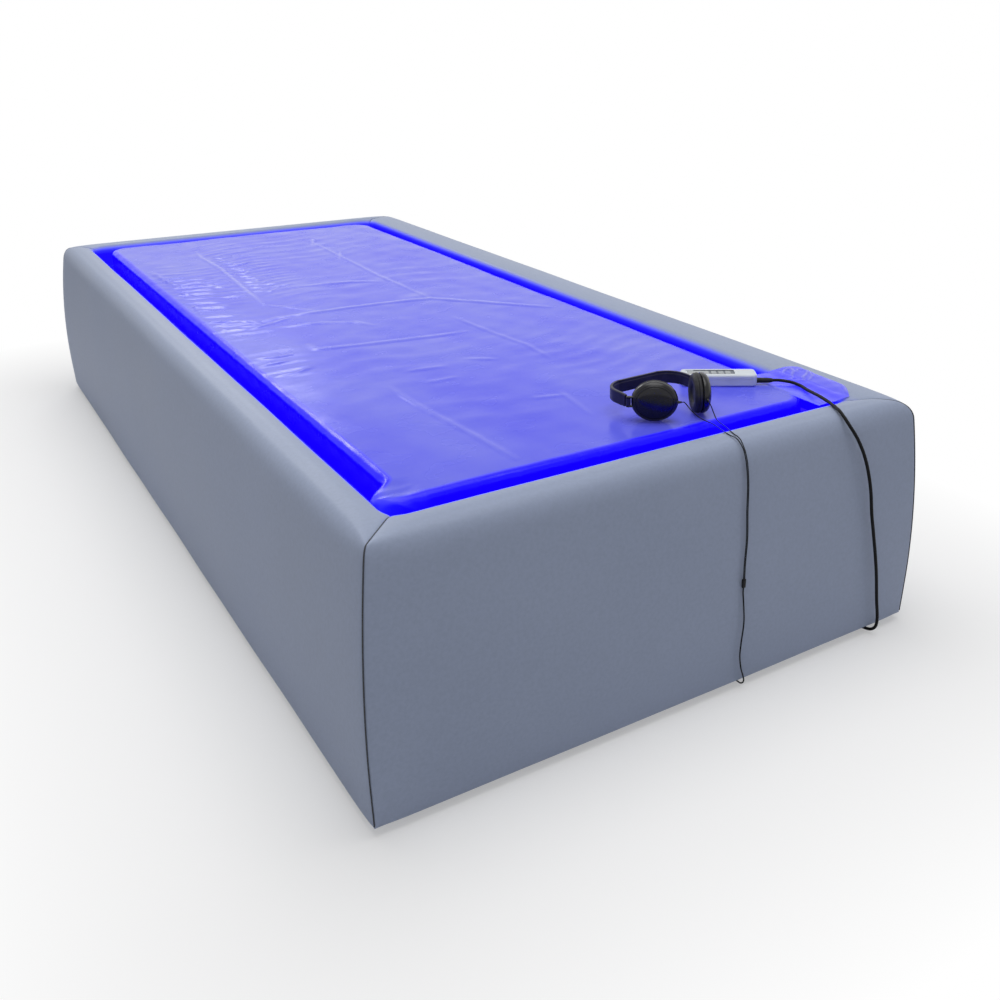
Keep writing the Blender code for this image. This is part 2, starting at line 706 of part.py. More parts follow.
def build_controls():
    """Build the control box with its two sockets, and the mains inlet with its switch."""
    half = CONTROL_SIZE[0] / 2
    box = rounded_cube(
        (CONTROL_X - half, CONTROL_FACE, RIB_BOTTOM),
        (CONTROL_X + half, CONTROL_FACE + CONTROL_SIZE[1], RIB_BOTTOM + CONTROL_SIZE[2]), 0.004,
    )
    for which, (radius, _) in (("handset", HANDSET_SOCKET), ("phones", PHONES_SOCKET)):
        drill = rod(radius, 2 * SOCKET_DEPTH, (socket_x(which), CONTROL_FACE, SOCKET_HEIGHT), "Y")
        combine(box, drill, "DIFFERENCE")
    finish(box, "control_box", "case")
    face = HEAD_FACE - BOARD_OUTER
    plate_front = face + FIT_GAP + INLET_PLATE
    inlet = cube(
        (-INLET_SIZE[0] / 2, face + FIT_GAP, INLET_HEIGHT - INLET_SIZE[1] / 2),
        (INLET_SIZE[0] / 2, plate_front, INLET_HEIGHT + INLET_SIZE[1] / 2),
    )
    body_x = INLET_SIZE[0] / 2 - INLET_MARGIN
    body_z = INLET_SIZE[1] / 2 - INLET_MARGIN
    body = cube(
        (-body_x, face - INLET_DEPTH, INLET_HEIGHT - body_z),
        (body_x, face + FIT_GAP + INLET_PLATE / 2, INLET_HEIGHT + body_z),
    )
    combine(inlet, body, "UNION")
    socket = prism(*SOCKET_HALF, SOCKET_CORNER, -MAINS_DEPTH, MAINS_DEPTH, segments=3)
    socket.data.transform(Matrix.Rotation(math.pi / 2, 4, "X"))
    socket.data.transform(Matrix.Translation((SOCKET_X, plate_front, INLET_HEIGHT)))
    combine(inlet, socket, "DIFFERENCE")
    wide, deep, tall = SWITCH_SIZE
    half_wide = wide / 2 + SWITCH_CLEAR[0]
    half_tall = tall / 2 + SWITCH_CLEAR[1]
    pocket = cube(
        (SWITCH_X - half_wide, plate_front - POCKET_DEPTH, INLET_HEIGHT - half_tall),
        (SWITCH_X + half_wide, plate_front + POCKET_DEPTH, INLET_HEIGHT + half_tall),
    )
    combine(inlet, pocket, "DIFFERENCE")
    finish(inlet, "power_inlet", "black")
    pivot = Vector((SWITCH_X, plate_front - SWITCH_SETBACK, INLET_HEIGHT))
    reach = Vector((wide / 2, deep / 2, tall / 2))
    rocker = rounded_cube(pivot - reach, pivot + reach, 0.001)
    finish(rocker, "main_switch", "rubber", pivot)


def socket_x(which):
    """Return where along the control box a socket sits."""
    half = CONTROL_SIZE[0] / 2
    if which == "handset":
        return CONTROL_X + half - HANDSET_SOCKET[1]
    return CONTROL_X - half + PHONES_SOCKET[1]


def handset_matrix():
    """Return the transform from the handset's own frame to the bed."""
    place = Matrix.Translation((HANDSET_X, FOOT_FACE + HANDSET_INSET, REST_TOP))
    return place @ Matrix.Rotation(HANDSET_TURN, 4, "Z")


def build_handset():
    """Build the two handset shells, the window, the keys and the cable boot."""
    to_bed = handset_matrix()
    half_x = HANDSET_LENGTH / 2
    half_y = HANDSET_WIDTH / 2
    back = prism(half_x, half_y, HANDSET_CORNER, 0.0, HANDSET_SPLIT, bottom_round=0.003)
    front_low = HANDSET_SPLIT + FIT_GAP
    front = prism(
        half_x, half_y, HANDSET_CORNER, front_low, HANDSET_HEIGHT, top_round=0.004
    )
    strip_top = HANDSET_HEIGHT - 0.0012
    strip = prism(0.046, 0.0125, 0.003, strip_top, HANDSET_HEIGHT + 0.01, segments=3)
    strip.data.transform(Matrix.Translation((-0.016, 0.0, 0.0)))
    combine(front, strip, "DIFFERENCE")
    window_low = strip_top - 0.0016
    window_mid = -0.038
    window_half = (0.020, 0.0100)
    pocket = cube(
        (window_mid - window_half[0] - FIT_GAP, -window_half[1] - FIT_GAP, window_low - FIT_GAP),
        (window_mid + window_half[0] + FIT_GAP, window_half[1] + FIT_GAP, HANDSET_HEIGHT),
    )
    combine(front, pocket, "DIFFERENCE")
    key_low = strip_top - 0.0040
    key_middles = [-0.009 + KEY_PITCH * number for number in range(3)]
    for middle in key_middles:
        well = cube(
            (middle - KEY_SIZE[0] / 2 - FIT_GAP, -KEY_SIZE[1] / 2 - FIT_GAP, key_low - 0.0012),
            (middle + KEY_SIZE[0] / 2 + FIT_GAP, KEY_SIZE[1] / 2 + FIT_GAP, HANDSET_HEIGHT),
        )
        combine(front, well, "DIFFERENCE")
    for shell, name in ((back, "handset_back"), (front, "handset_front")):
        shell.data.transform(to_bed)
        finish(shell, name, "white")
    window = cube(
        (window_mid - window_half[0], -window_half[1], window_low),
        (window_mid + window_half[0], window_half[1], strip_top),
    )
    window.data.transform(to_bed)
    finish(window, "handset_window", "window")
    for number, middle in enumerate(key_middles, start=1):
        key = rounded_cube(
            (middle - KEY_SIZE[0] / 2, -KEY_SIZE[1] / 2, key_low),
            (middle + KEY_SIZE[0] / 2, KEY_SIZE[1] / 2, strip_top + 0.0006), 0.0005,
        )
        key.data.transform(to_bed)
        finish(key, "handset_key_%d" % number, "key", to_bed @ Vector((middle, 0.0, key_low)))
    boot = turned((
        (0.0, 0.0), (BOOT_RADIUS, 0.0), (BOOT_RADIUS, BOOT_LENGTH * 0.7),
        (BOOT_RADIUS * 0.78, BOOT_LENGTH), (0.0, BOOT_LENGTH),
    ), 20)
    boot.data.transform(Matrix.Rotation(math.pi / 2, 4, "Y"))
    boot.data.transform(Matrix.Translation((half_x + FIT_GAP, -BOOT_SIDE, BOOT_HEIGHT)))
    boot.data.transform(to_bed)
    finish(boot, "handset_boot", "black")


def phones_matrix():
    """Return the transform from the headphones' own frame to the bed."""
    place = Matrix.Translation((PHONES_X, FOOT_FACE + PHONES_INSET, CUP_MIDDLE))
    return place @ Matrix.Rotation(PHONES_TURN, 4, "Z")


def cup_matrix(sign):
    """Return the transform from a cup's frame (X from hinge to tip, Y outward) to the bed."""
    fold = LEFT_FOLD if sign < 0 else RIGHT_FOLD
    hinge = Matrix.Translation((sign * PHONES_HALF_WIDTH, 0.0, 0.0))
    turn = Matrix.Rotation(-math.pi / 2 - sign * fold, 4, "Z")
    outward = Matrix.Scale(sign, 4, (0.0, 1.0, 0.0))
    return phones_matrix() @ hinge @ turn @ outward


def band_path():
    """Return plan points of the headband from its left end over the arch to its right end."""
    half = PHONES_HALF_WIDTH
    start = KNUCKLE_RADIUS + 0.002
    path = [(-half, start), (-half, start + (BAND_DEPTH - BAND_CORNER - start) / 2)]
    for step in range(9):
        turn = math.pi / 2 * step / 8
        path.append((
            -half + BAND_CORNER * (1 - math.cos(turn)),
            BAND_DEPTH - BAND_CORNER * (1 - math.sin(turn)),
        ))
    return path + [(-across, along) for across, along in reversed(path)]


def build_headphones():
    """Build the headband, the sliding arms, the folding cups and their cushions."""
    to_bed = phones_matrix()
    strip = bmesh.new()
    row = [strip.verts.new((across, along, -BAND_HEIGHT / 2)) for across, along in band_path()]
    edges = [strip.edges.new((row[index], row[index + 1])) for index in range(len(row) - 1)]
    raised = bmesh.ops.extrude_edge_only(strip, edges=edges)["geom"]
    lifted = [part for part in raised if isinstance(part, bmesh.types.BMVert)]
    bmesh.ops.translate(strip, verts=lifted, vec=(0.0, 0.0, BAND_HEIGHT))
    mesh = bpy.data.meshes.new("band")
    strip.to_mesh(mesh)
    strip.free()
    band = bpy.data.objects.new("band", mesh)
    bpy.context.scene.collection.objects.link(band)
    solid = band.modifiers.new("Solidify", "SOLIDIFY")
    solid.thickness = BAND_THICK
    solid.offset = 0.0
    solid.use_even_offset = True
    soften = band.modifiers.new("Bevel", "BEVEL")
    soften.width = 0.0010
    soften.segments = 2
    soften.limit_method = "ANGLE"
    soften.angle_limit = math.radians(50.0)
    tidy_mesh(bake(band))
    slot_reach = KNUCKLE_RADIUS + ARM_LENGTH + 0.001
    for sign in (-1, 1):
        middle = sign * PHONES_HALF_WIDTH
        slot = cube(
            (middle - ARM_THICK / 2 - FIT_GAP, 0.0, -ARM_HEIGHT / 2 - FIT_GAP),
            (middle + ARM_THICK / 2 + FIT_GAP, slot_reach, ARM_HEIGHT / 2 + FIT_GAP),
        )
        combine(band, slot, "DIFFERENCE")
    band.data.transform(to_bed)
    finish(band, "headband", "black", to_bed @ Vector((0.0, 0.0, 0.0)))
    for side, sign in (("left", -1), ("right", 1)):
        build_ear(side, sign, to_bed)


def build_ear(side, sign, to_bed):
    """Build one arm, one cup and one cushion."""
    middle = sign * PHONES_HALF_WIDTH
    lug_thick = 0.0026
    lug_low = KNUCKLE_HEIGHT / 2 + FIT_GAP
    pin_radius = 0.0014
    arm = rod(KNUCKLE_RADIUS, KNUCKLE_HEIGHT, (middle, 0.0, 0.0))
    tongue = cube(
        (middle - ARM_THICK / 2, 0.0, -ARM_HEIGHT / 2),
        (middle + ARM_THICK / 2, KNUCKLE_RADIUS + ARM_LENGTH, ARM_HEIGHT / 2),
    )
    combine(arm, tongue, "UNION")
    pin = rod(pin_radius, 2 * (lug_low + lug_thick), (middle, 0.0, 0.0))
    combine(arm, pin, "UNION")
    arm.data.transform(to_bed)
    finish(arm, side + "_arm", "metal")
    to_cup = cup_matrix(sign)
    hinge = to_cup @ Vector((0.0, 0.0, 0.0))
    radius = CUP_HEIGHT / 2
    stretch = Matrix.Scale(CUP_LENGTH / CUP_HEIGHT, 4, (1.0, 0.0, 0.0))
    centre = Matrix.Translation((CUP_START + CUP_LENGTH / 2, -CUP_HINGE_OFFSET, 0.0))
    lay = centre @ stretch @ Matrix.Rotation(-math.pi / 2, 4, "X")
    shell = turned((
        (0.0, 0.0155), (radius * 0.35, 0.0151), (radius * 0.63, 0.0138), (radius * 0.83, 0.0112),
        (radius * 0.95, 0.0075), (radius, 0.0030), (radius, -0.0005), (radius - 0.0015, -0.0020),
        (0.0, -0.0020),
    ))
    shell.data.transform(lay)
    for height in (-1, 1):
        low = height * lug_low
        high = height * (lug_low + lug_thick)
        lug = cube(
            (0.0, -0.0036, min(low, high)), (CUP_START + 0.012, 0.0036, max(low, high))
        )
        knob = rod(0.0036, lug_thick, (0.0, 0.0, (low + high) / 2))
        combine(lug, knob, "UNION")
        combine(shell, lug, "UNION")
    drill = rod(pin_radius + FIT_GAP, CUT_OVER, (0.0, 0.0, 0.0))
    combine(shell, drill, "DIFFERENCE")
    gland = turned((
        (0.0, -0.004), (0.0026, -0.004), (0.0024, GLAND_LENGTH * 0.5), (0.0015, GLAND_LENGTH),
        (0.0, GLAND_LENGTH),
    ), 16)
    gland.data.transform(Matrix.Rotation(math.pi / 2, 4, "Y"))
    gland.data.transform(Matrix.Translation((CUP_START + CUP_LENGTH, 0.0, 0.0)))
    combine(shell, gland, "UNION")
    shell.data.transform(to_cup)
    tidy_mesh(shell)
    finish(shell, side + "_ear_cup", "black", hinge)
    cushion = turned((
        (0.0, -0.0023), (radius - 0.0030, -0.0023), (radius - 0.0004, -0.0060),
        (radius - 0.0012, -0.0115), (radius - 0.0060, -0.0158), (radius - 0.0120, -0.0163),
        (radius - 0.0175, -0.0148), (radius - 0.0215, -0.0120), (0.0, -0.0112),
    ))
    cushion.data.transform(lay)
    cushion.data.transform(to_cup)
    tidy_mesh(cushion)
    finish(cushion, side + "_ear_cushion", "cushion", hinge)


def foot_route(start_x, points):
    """Return route points given as (across from a start, inset from the foot face, height)."""
    return [(start_x + across, FOOT_FACE + inset, height) for across, inset, height in points]


def handset_route():
    """Return the handset cord's route: boot, film, rim, foot wall, floor gap, socket."""
    to_bed = handset_matrix()
    start = HANDSET_LENGTH / 2 + FIT_GAP + BOOT_LENGTH + FIT_GAP
    first = [
        to_bed @ Vector((start + reach, -BOOT_SIDE, BOOT_HEIGHT)) for reach in (0.0, 0.006, 0.012)
    ]
    rim = RIM_TOP
    low = FLOOR_GAP / 2
    turn = 0.024
    inset_in = BAY_INSET + CABLE_GAP / 2
    across = socket_x("handset")
    level = SOCKET_HEIGHT
    rest = foot_route(HANDSET_X, (
        (0.1041, 0.2268, rim + 0.0018), (0.1105, 0.2175, rim + 0.0002),
        (0.1104, 0.1995, rim - 0.0002), (0.1033, 0.1780, rim + 0.0005),
        (0.0962, 0.1566, rim + 0.0022), (0.0904, 0.1366, rim + 0.0036),
        (0.0842, 0.1141, rim + 0.0040), (0.0767, 0.0896, rim + 0.0038),
        (0.0690, 0.0700, rim + 0.0036), (0.0627, 0.0532, rim + 0.0020),
        (0.0628, 0.0320, rim - 0.0136), (0.0763, 0.0206, rim - 0.0395),
        (0.0894, 0.0125, rim - 0.0708), (0.0989, 0.0063, rim - 0.1050),
        (0.1052, 0.0011, rim - 0.1408), (0.1096, -0.0030, rim - 0.1810),
        (0.1167, -0.0067, rim - 0.2207), (0.1243, -0.0110, rim - 0.2644),
        (0.1312, -0.0143, rim - 0.3082), (0.1396, -0.0160, 0.0833), (0.1466, -0.0160, 0.0520),
        (0.1488, -0.0160, low + turn), (0.1492, -0.0160 + 0.13 * turn, low + 0.5 * turn),
        (0.1488, -0.0160 + 0.5 * turn, low + 0.13 * turn), (0.1475, -0.0160 + turn, low),
        (0.1400, 0.0350, low), (0.1310, inset_in - turn, low),
        (0.1270, inset_in - 0.5 * turn, low + 0.13 * turn),
        (0.1235, inset_in - 0.13 * turn, low + 0.5 * turn),
        (0.1215, inset_in, low + turn),
    ))
    rest += foot_route(across, (
        (0.0, inset_in, level - turn),
        (0.0, inset_in + 0.13 * turn, level - 0.5 * turn),
        (0.0, inset_in + 0.5 * turn, level - 0.13 * turn), (0.0, inset_in + turn, level),
        (0.0, CONTROL_INSET - PLUG_LENGTH - 0.004, level),
        (0.0, CONTROL_INSET - PLUG_LENGTH - 2 * FIT_GAP, level),
    ))
    return first + rest


def shared_lead_route(side_shift):
    """Return the part of a lead's route that runs beside the other lead down the foot wall."""
    rim = RIM_TOP
    points = (
        (0.0142, 0.0420, rim - 0.0088), (0.0130, 0.0345, rim - 0.0183),
        (0.0146, 0.0299, rim - 0.0374), (0.0127, 0.0223, rim - 0.0695),
        (0.0086, 0.0154, rim - 0.1107), (0.0065, 0.0091, rim - 0.1564),
        (0.0015, 0.0043, rim - 0.2003), (0.0002, 0.0025, rim - 0.2170),
        (SPLIT_PLACE[0], SPLIT_PLACE[1], split_middle() + SPLIT_SIZE[2] / 2 + FIT_GAP),
    )
    return foot_route(PHONES_X + side_shift, points)


def split_middle():
    """Return the height of the y-split's middle."""
    return RIM_TOP - SPLIT_DROP


def lead_route(sign):
    """Return one headphone lead's route from its cup to the y-split."""
    to_cup = cup_matrix(sign)
    start = CUP_START + CUP_LENGTH + GLAND_LENGTH + FIT_GAP
    first = [to_cup @ Vector((start + reach, 0.0, 0.0)) for reach in (0.0, 0.004)]
    rim = RIM_TOP
    if sign < 0:
        middle = foot_route(PHONES_X, (
            (0.0105, 0.1720, rim + 0.0268), (0.0190, 0.1655, rim + 0.0190),
            (0.0224, 0.1590, rim + 0.0105), (0.0240, 0.1533, rim + 0.0050),
            (0.0254, 0.1478, rim + 0.0028), (0.0255, 0.1405, rim + 0.0018),
            (0.0225, 0.1261, rim + 0.0016), (0.0189, 0.1070, rim + 0.0016),
            (0.0145, 0.0814, rim + 0.0014), (0.0132, 0.0570, rim + 0.0008),
        ))
    else:
        middle = foot_route(PHONES_X, (
            (0.0345, 0.1515, rim + 0.0262), (0.0368, 0.1478, rim + 0.0170),
            (0.0385, 0.1442, rim + 0.0090), (0.0388, 0.1405, rim + 0.0045),
            (0.0376, 0.1330, rim + 0.0022), (0.0355, 0.1211, rim + 0.0016),
            (0.0306, 0.1016, rim + 0.0016), (0.0234, 0.0779, rim + 0.0014),
            (0.0188, 0.0570, rim + 0.0008),
        ))
    return first + middle + shared_lead_route(sign * LEAD_SPACING / 2)


def trunk_route():
    """Return the joined headphone cord's route from the y-split to its jack."""
    low = FLOOR_GAP / 2
    turn = 0.014
    inset_in = BAY_INSET + CABLE_GAP / 2
    across = socket_x("phones")
    level = SOCKET_HEIGHT
    top = split_middle() - SPLIT_SIZE[2] / 2 - FIT_GAP
    route = foot_route(PHONES_X, (
        (SPLIT_PLACE[0], SPLIT_PLACE[1], top), (-0.0012, 0.0004, top - 0.010),
        (-0.0005, -0.0020, top - 0.029), (0.0011, -0.0040, top - 0.056),
        (0.0002, -0.0053, top - 0.074), (-0.0036, -0.0067, 0.0980), (-0.0056, -0.0080, 0.0740),
        (-0.0024, -0.0090, 0.0497), (0.0031, -0.0090, 0.0335), (0.0066, -0.0090, low + turn),
        (0.0075, -0.0090 + 0.13 * turn, low + 0.5 * turn),
        (0.0079, -0.0090 + 0.5 * turn, low + 0.13 * turn), (0.0081, -0.0090 + turn, low),
        (0.0089, 0.0350, low),
    ))
    route += foot_route(across, (
        (0.0, inset_in - turn, low),
        (0.0, inset_in - 0.5 * turn, low + 0.13 * turn),
        (0.0, inset_in - 0.13 * turn, low + 0.5 * turn), (0.0, inset_in, low + turn),
        (0.0, inset_in, level - turn), (0.0, inset_in + 0.13 * turn, level - 0.5 * turn),
        (0.0, inset_in + 0.5 * turn, level - 0.13 * turn), (0.0, inset_in + turn, level),
        (0.0, CONTROL_INSET - JACK_LENGTH - 0.004, level),
        (0.0, CONTROL_INSET - JACK_LENGTH - 2 * FIT_GAP, level),
    ))
    return route


def make_plug(length, radius, pin_radius, pin_length, across):
    """Return a plug turned along Y, its pin inside the control box socket."""
    plug = turned((
        (0.0, -length), (radius * 0.7, -length), (radius, -length * 0.75), (radius, 0.0),
        (pin_radius, 0.0), (pin_radius, pin_length), (0.0, pin_length),
    ), 20)
    plug.data.transform(Matrix.Rotation(-math.pi / 2, 4, "X"))
    plug.data.transform(Matrix.Translation((across, CONTROL_FACE - FIT_GAP, SOCKET_HEIGHT)))
    return tidy_mesh(plug)


def build_cords():
    """Build the cords, the y-split and the two plugs."""
    finish(tube(handset_route(), HANDSET_CORD), "handset_cord", "black")
    finish(tube(lead_route(-1), LEAD_DIAMETER), "left_lead", "black")
    finish(tube(lead_route(1), LEAD_DIAMETER), "right_lead", "black")
    finish(tube(trunk_route(), TRUNK_DIAMETER), "headphone_cord", "black")
    middle = Vector((PHONES_X + SPLIT_PLACE[0], FOOT_FACE + SPLIT_PLACE[1], split_middle()))
    half = Vector(SPLIT_SIZE) / 2
    finish(rounded_cube(middle - half, middle + half, 0.0008), "y_split", "black")
    plug = make_plug(PLUG_LENGTH, 0.0065, 0.0030, 0.018, socket_x("handset"))
    finish(plug, "handset_plug", "black")
    jack = make_plug(JACK_LENGTH, 0.0045, 0.00175, 0.020, socket_x("phones"))
    finish(jack, "headphone_jack", "black")


def main():
    """Build the whole bed."""
    clear_scene()
    make_collection(COLLECTION)
    make_collection(CUTTERS)
    build_walls()
    build_carcass()
    build_tub()
    build_film()
    build_lights()
    build_lift()
    build_controls()
    build_handset()
    build_headphones()
    build_cords()


main()
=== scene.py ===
"""Dry float bed: leather walls, lit film, handset and headphones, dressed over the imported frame."""

import math

import bpy
import numpy as np
from mathutils import Matrix, Vector


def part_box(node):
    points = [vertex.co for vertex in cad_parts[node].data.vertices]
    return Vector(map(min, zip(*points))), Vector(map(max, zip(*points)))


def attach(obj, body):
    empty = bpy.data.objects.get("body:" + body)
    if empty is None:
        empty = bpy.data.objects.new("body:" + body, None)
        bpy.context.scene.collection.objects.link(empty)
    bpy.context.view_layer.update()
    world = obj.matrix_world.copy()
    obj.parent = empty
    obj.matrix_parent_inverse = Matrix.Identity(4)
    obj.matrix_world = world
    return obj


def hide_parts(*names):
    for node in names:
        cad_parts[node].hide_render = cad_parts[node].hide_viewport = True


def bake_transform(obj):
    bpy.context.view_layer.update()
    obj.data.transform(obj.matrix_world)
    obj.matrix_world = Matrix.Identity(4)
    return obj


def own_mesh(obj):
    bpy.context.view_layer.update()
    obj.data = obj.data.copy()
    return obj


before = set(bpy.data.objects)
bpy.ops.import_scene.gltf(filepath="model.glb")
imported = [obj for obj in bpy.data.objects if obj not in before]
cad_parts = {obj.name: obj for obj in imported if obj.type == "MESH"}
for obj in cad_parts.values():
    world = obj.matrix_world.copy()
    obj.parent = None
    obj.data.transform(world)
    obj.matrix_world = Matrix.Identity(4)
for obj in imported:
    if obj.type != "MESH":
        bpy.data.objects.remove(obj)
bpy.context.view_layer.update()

# Camera fitted to the photograph, in metres and degrees
CAMERA_PLACE = (-0.9208, -2.3110, 1.0616)
CAMERA_YAW = math.radians(33.4851)
CAMERA_PITCH = math.radians(25.1284)
CAMERA_ROLL = math.radians(0.1771)
CAMERA_LENS = 37.238
CAMERA_SENSOR = 36.0
CAMERA_SHIFT = (-0.08784, 0.00407)

# Bed sizes, as in the frame
WALLS = ("left", "right", "head", "foot")
HALF_WIDTH = 0.55
HALF_LENGTH = 1.20
RIM_TOP = 0.446
FLOOR_GAP = 0.015
FIT_GAP = 0.0003

# Leather covers: insets from the outer face, and pairs for the middle of a wall and a crisp corner
INNER_FACE = 0.108
PAD_OUTER = 0.045
BOARD_FACE = 0.0636
BOARD_TOP = 0.4013
FLANGE_TOP = 0.3848
LEAN_START = 0.080
LEAN_CURVE = 0.312
ROUND_HEIGHT = (0.040, 0.034)
ROUND_WIDTH = {
    "left": (0.036, 0.016), "foot": (0.036, 0.016), "head": (0.036, 0.024), "right": (0.048, 0.040),
}
LEAN_SHARE = {"left": 1.0, "foot": 1.0, "head": 1.0, "right": 0.0}
SWELL = {"left": 0.0, "foot": 0.0, "head": 0.0, "right": 0.0062}
SWELL_RATE = math.pi / 0.50
NEIGHBOURS = {
    "left": {-1: "head", 1: "foot"}, "foot": {-1: "left", 1: "right"},
    "right": {-1: "foot", 1: "head"}, "head": {-1: "right", 1: "left"},
}
CORNER_CRISP = {
    ("left", 1): 1.0, ("foot", -1): 1.0, ("foot", 1): 0.0, ("right", -1): 0.0,
    ("right", 1): 0.3, ("head", -1): 0.3, ("head", 1): 0.2, ("left", -1): 0.2,
}
CORNER_DROP = 0.0028
CRISP_FADE = 0.050
CALM_FADE = 0.060
INNER_ROUND = 0.016
INNER_CORNER = 0.040
CORNER_REACH = (0.060, 0.045)
CROWN = 0.0015
HANDLE = 0.55
MITRE_GAP = 0.0004
EDGE_GAP = 0.0006
COVER_CLEAR = 0.0004
HEM = ((0.0040, 0.0006), (0.0010, 0.0012))
HEM_TOP = 0.005
FACE_STEPS = 18
RIM_STEPS = 8
LINING_STEPS = 5
STATIONS = (0.0, 0.0007, 0.0016, 0.003, 0.005, 0.008, 0.012, 0.018, 0.026, 0.036, 0.050, 0.070, 0.095)
MIDDLE_STATIONS = 74
# Painted blue LED glow on the covers' inner face: the inset where it starts, and the depth below the rim top
# over which it comes to full strength
PAINTED_GLOW_INSET = 0.088
PAINTED_GLOW_DEPTH = 0.020
SEAM_DRAW = 0.0046
SEAM_PULL = ((0.0030, 0.030), (0.0022, 0.0025))
SEAM_RADIUS = 0.0011
RECESS_MARGIN = 0.006
RECESS_REACH = (0.09, 0.05)

# Film: lying surface, skirt into the channel and clamped flange
FILM_TOP = 0.441
FILM_INSET = 0.148
FILM_CORNER = 0.055
FILM_ROUND = 0.012
FILM_FOOT = 0.004
FILM_FLANGE_LEVEL = 0.3857
FILM_FLANGE = 0.036
FILM_COLUMNS = (28, 144)
FILM_ROWS = (28, 408)
CREASE_GAIN = 1.8
DEEPEST_SAG = 0.0011
PRESSED_MIDDLE = (0.128, -0.945)
PRESSED_SIZE = (0.125, 0.105)
PRESSED_DEPTH = 0.0010
PLEAT_HEIGHT = 0.0005
GATHER_HEIGHT = 0.0016
SLACK_HEIGHT = 0.0016
SLACK_DROP = 0.007
SLACK_SPREAD = 0.036
CORE_X = HALF_WIDTH - FILM_INSET - FILM_CORNER
CORE_Y = HALF_LENGTH - FILM_INSET - FILM_CORNER
FLAT_REACH = FILM_CORNER - FILM_ROUND
ARC_END = FLAT_REACH + FILM_ROUND * math.pi / 2
SKIRT_END = ARC_END + FILM_TOP - FILM_ROUND - FILM_FLANGE_LEVEL - FILM_FOOT
FOOT_END = SKIRT_END + FILM_FOOT * math.pi / 2
SHEET_END = FOOT_END + FILM_FLANGE - FILM_FOOT

# Loose lap of film over the rim, in the right foot corner, with its edge as (along, across)
LAP_START = 0.380
LAP_EDGE = (
    (-1.089, 0.454), (-1.076, 0.465), (-1.060, 0.478), (-1.044, 0.487), (-1.004, 0.491), (-0.967, 0.491),
    (-0.941, 0.496), (-0.919, 0.496), (-0.906, 0.487), (-0.900, 0.466), (-0.897, 0.430),
)
LAP_STEPS = (64, 110)
LAP_CLEAR = 0.0011
LAP_CLIMB = (0.424, 0.024)
LAP_LIFT = 0.0012
LAP_RIM_LIFT = 0.0022
LAP_BUNCH = (0.0003, 0.0004)
LAP_CHANNEL = ((0.398, 0.014), (0.436, 0.026))

# Foam pad and bladders
FOAM_CORNER = 0.052
FOAM_EDGE = 0.012
FOAM_SUNK = 0.0034
FOAM_CROWN = {"thickness": 0.020, "depth": 0.0008}
BLADDER_ROUND = 0.045
WELDS = 12.0
WELD_DEPTH = 0.010
RIB_DEPTH = 0.006

# Handset and headphones, lying on the film
REST_TOP = FILM_TOP + FIT_GAP
HANDSET_PLACE = (0.3095, -0.8937)
HANDSET_TURN = math.radians(-32.3)
HANDSET_LENGTH = 0.142
HANDSET_STRIP = {"X": (0.0, 0.0462), "Y": (0.0, 0.0127), "Z": (0.0204, 0.0010)}
BOOT_LENGTH = 0.030
BOOT_SIDE = 0.0065
BOOT_HEIGHT = 0.0075
PHONES_PLACE = (0.1278, -0.9632)
PHONES_TURN = math.radians(2.6)
PHONES_HALF_WIDTH = 0.0782
BAND_DEPTH = 0.073
BAND_CORNER = 0.039
BAND_HEIGHT = 0.0225
BAND_THICK = 0.0056
BAND_GROOVE = 0.0006
BAND_PAD = 0.0006
KNUCKLE_RADIUS = 0.0042
CUP_LENGTH = 0.080
CUP_HEIGHT = 0.070
CUP_START = 0.0046
CUP_OFFSET = 0.004
CUP_SIDES = 64
GLAND_LENGTH = 0.006
LUG_LEVELS = (-0.0094, 0.0068)
LUG_THICK = 0.0026
LUG_HALF = 0.0036
CUP_FOLD = {-1: math.radians(52.0), 1: math.radians(30.0)}

# Cords
HANDSET_CORD = 0.006
HANDSET_BEND = 0.024
HANDSET_STANDOFF = -0.0160
LEAD_DIAMETER = 0.0018
LEAD_SPACING = 0.0026
TRUNK_DIAMETER = 0.0026
TRUNK_BEND = 0.014
TRUNK_STANDOFF = -0.0090
CORD_LOW = FLOOR_GAP / 2
UNDER_INSET = 0.0350
SPLIT_PLACE = (-0.0006, 0.0012)
SPLIT_MIDDLE = RIM_TOP - 0.2358
SPLIT_HEIGHT = 0.016
CABLE_INSET = 0.0836
CONTROL_INSET = 0.150
SOCKET_LEVEL = 0.075
HANDSET_SOCKET_X = 0.43
PHONES_SOCKET_X = 0.14
PLUG_LENGTH = 0.030
JACK_LENGTH = 0.040


# Mesh helpers


def deselect_all():
    """Leave nothing selected."""
    bpy.ops.object.select_all(action="DESELECT")


def take(name):
    """Name the object that was just added."""
    piece = bpy.context.object
    piece.name = name
    piece.data.name = name
    return piece


def work_on(piece):
    """Make one piece the only selected and active object."""
    deselect_all()
    piece.select_set(True)
    bpy.context.view_layer.objects.active = piece


def edit_mesh(piece, operator, *runs, test=None, kind="EDGE"):
    """Run a mesh operator, once per set of options, on a whole piece or on its parts that pass a test."""
    work_on(piece)
    bpy.ops.object.mode_set(mode="EDIT")
    bpy.ops.mesh.select_mode(type=kind)
    bpy.ops.mesh.select_all(action="DESELECT" if test else "SELECT")
    if test:
        bpy.ops.object.mode_set(mode="OBJECT")
        for part in piece.data.edges if kind == "EDGE" else piece.data.polygons:
            part.select = test(part)
        bpy.ops.object.mode_set(mode="EDIT")
    for options in runs:
        operator(**options)
    bpy.ops.object.mode_set(mode="OBJECT")


def edge_rise(piece, edge):
    """Return how far an edge of a piece climbs."""
    low, high = (piece.data.vertices[number].co.z for number in edge.vertices)
    return abs(high - low)


def faces_up(face):
    """Return whether a face is level and looks up."""
    return face.normal.z > 0.99


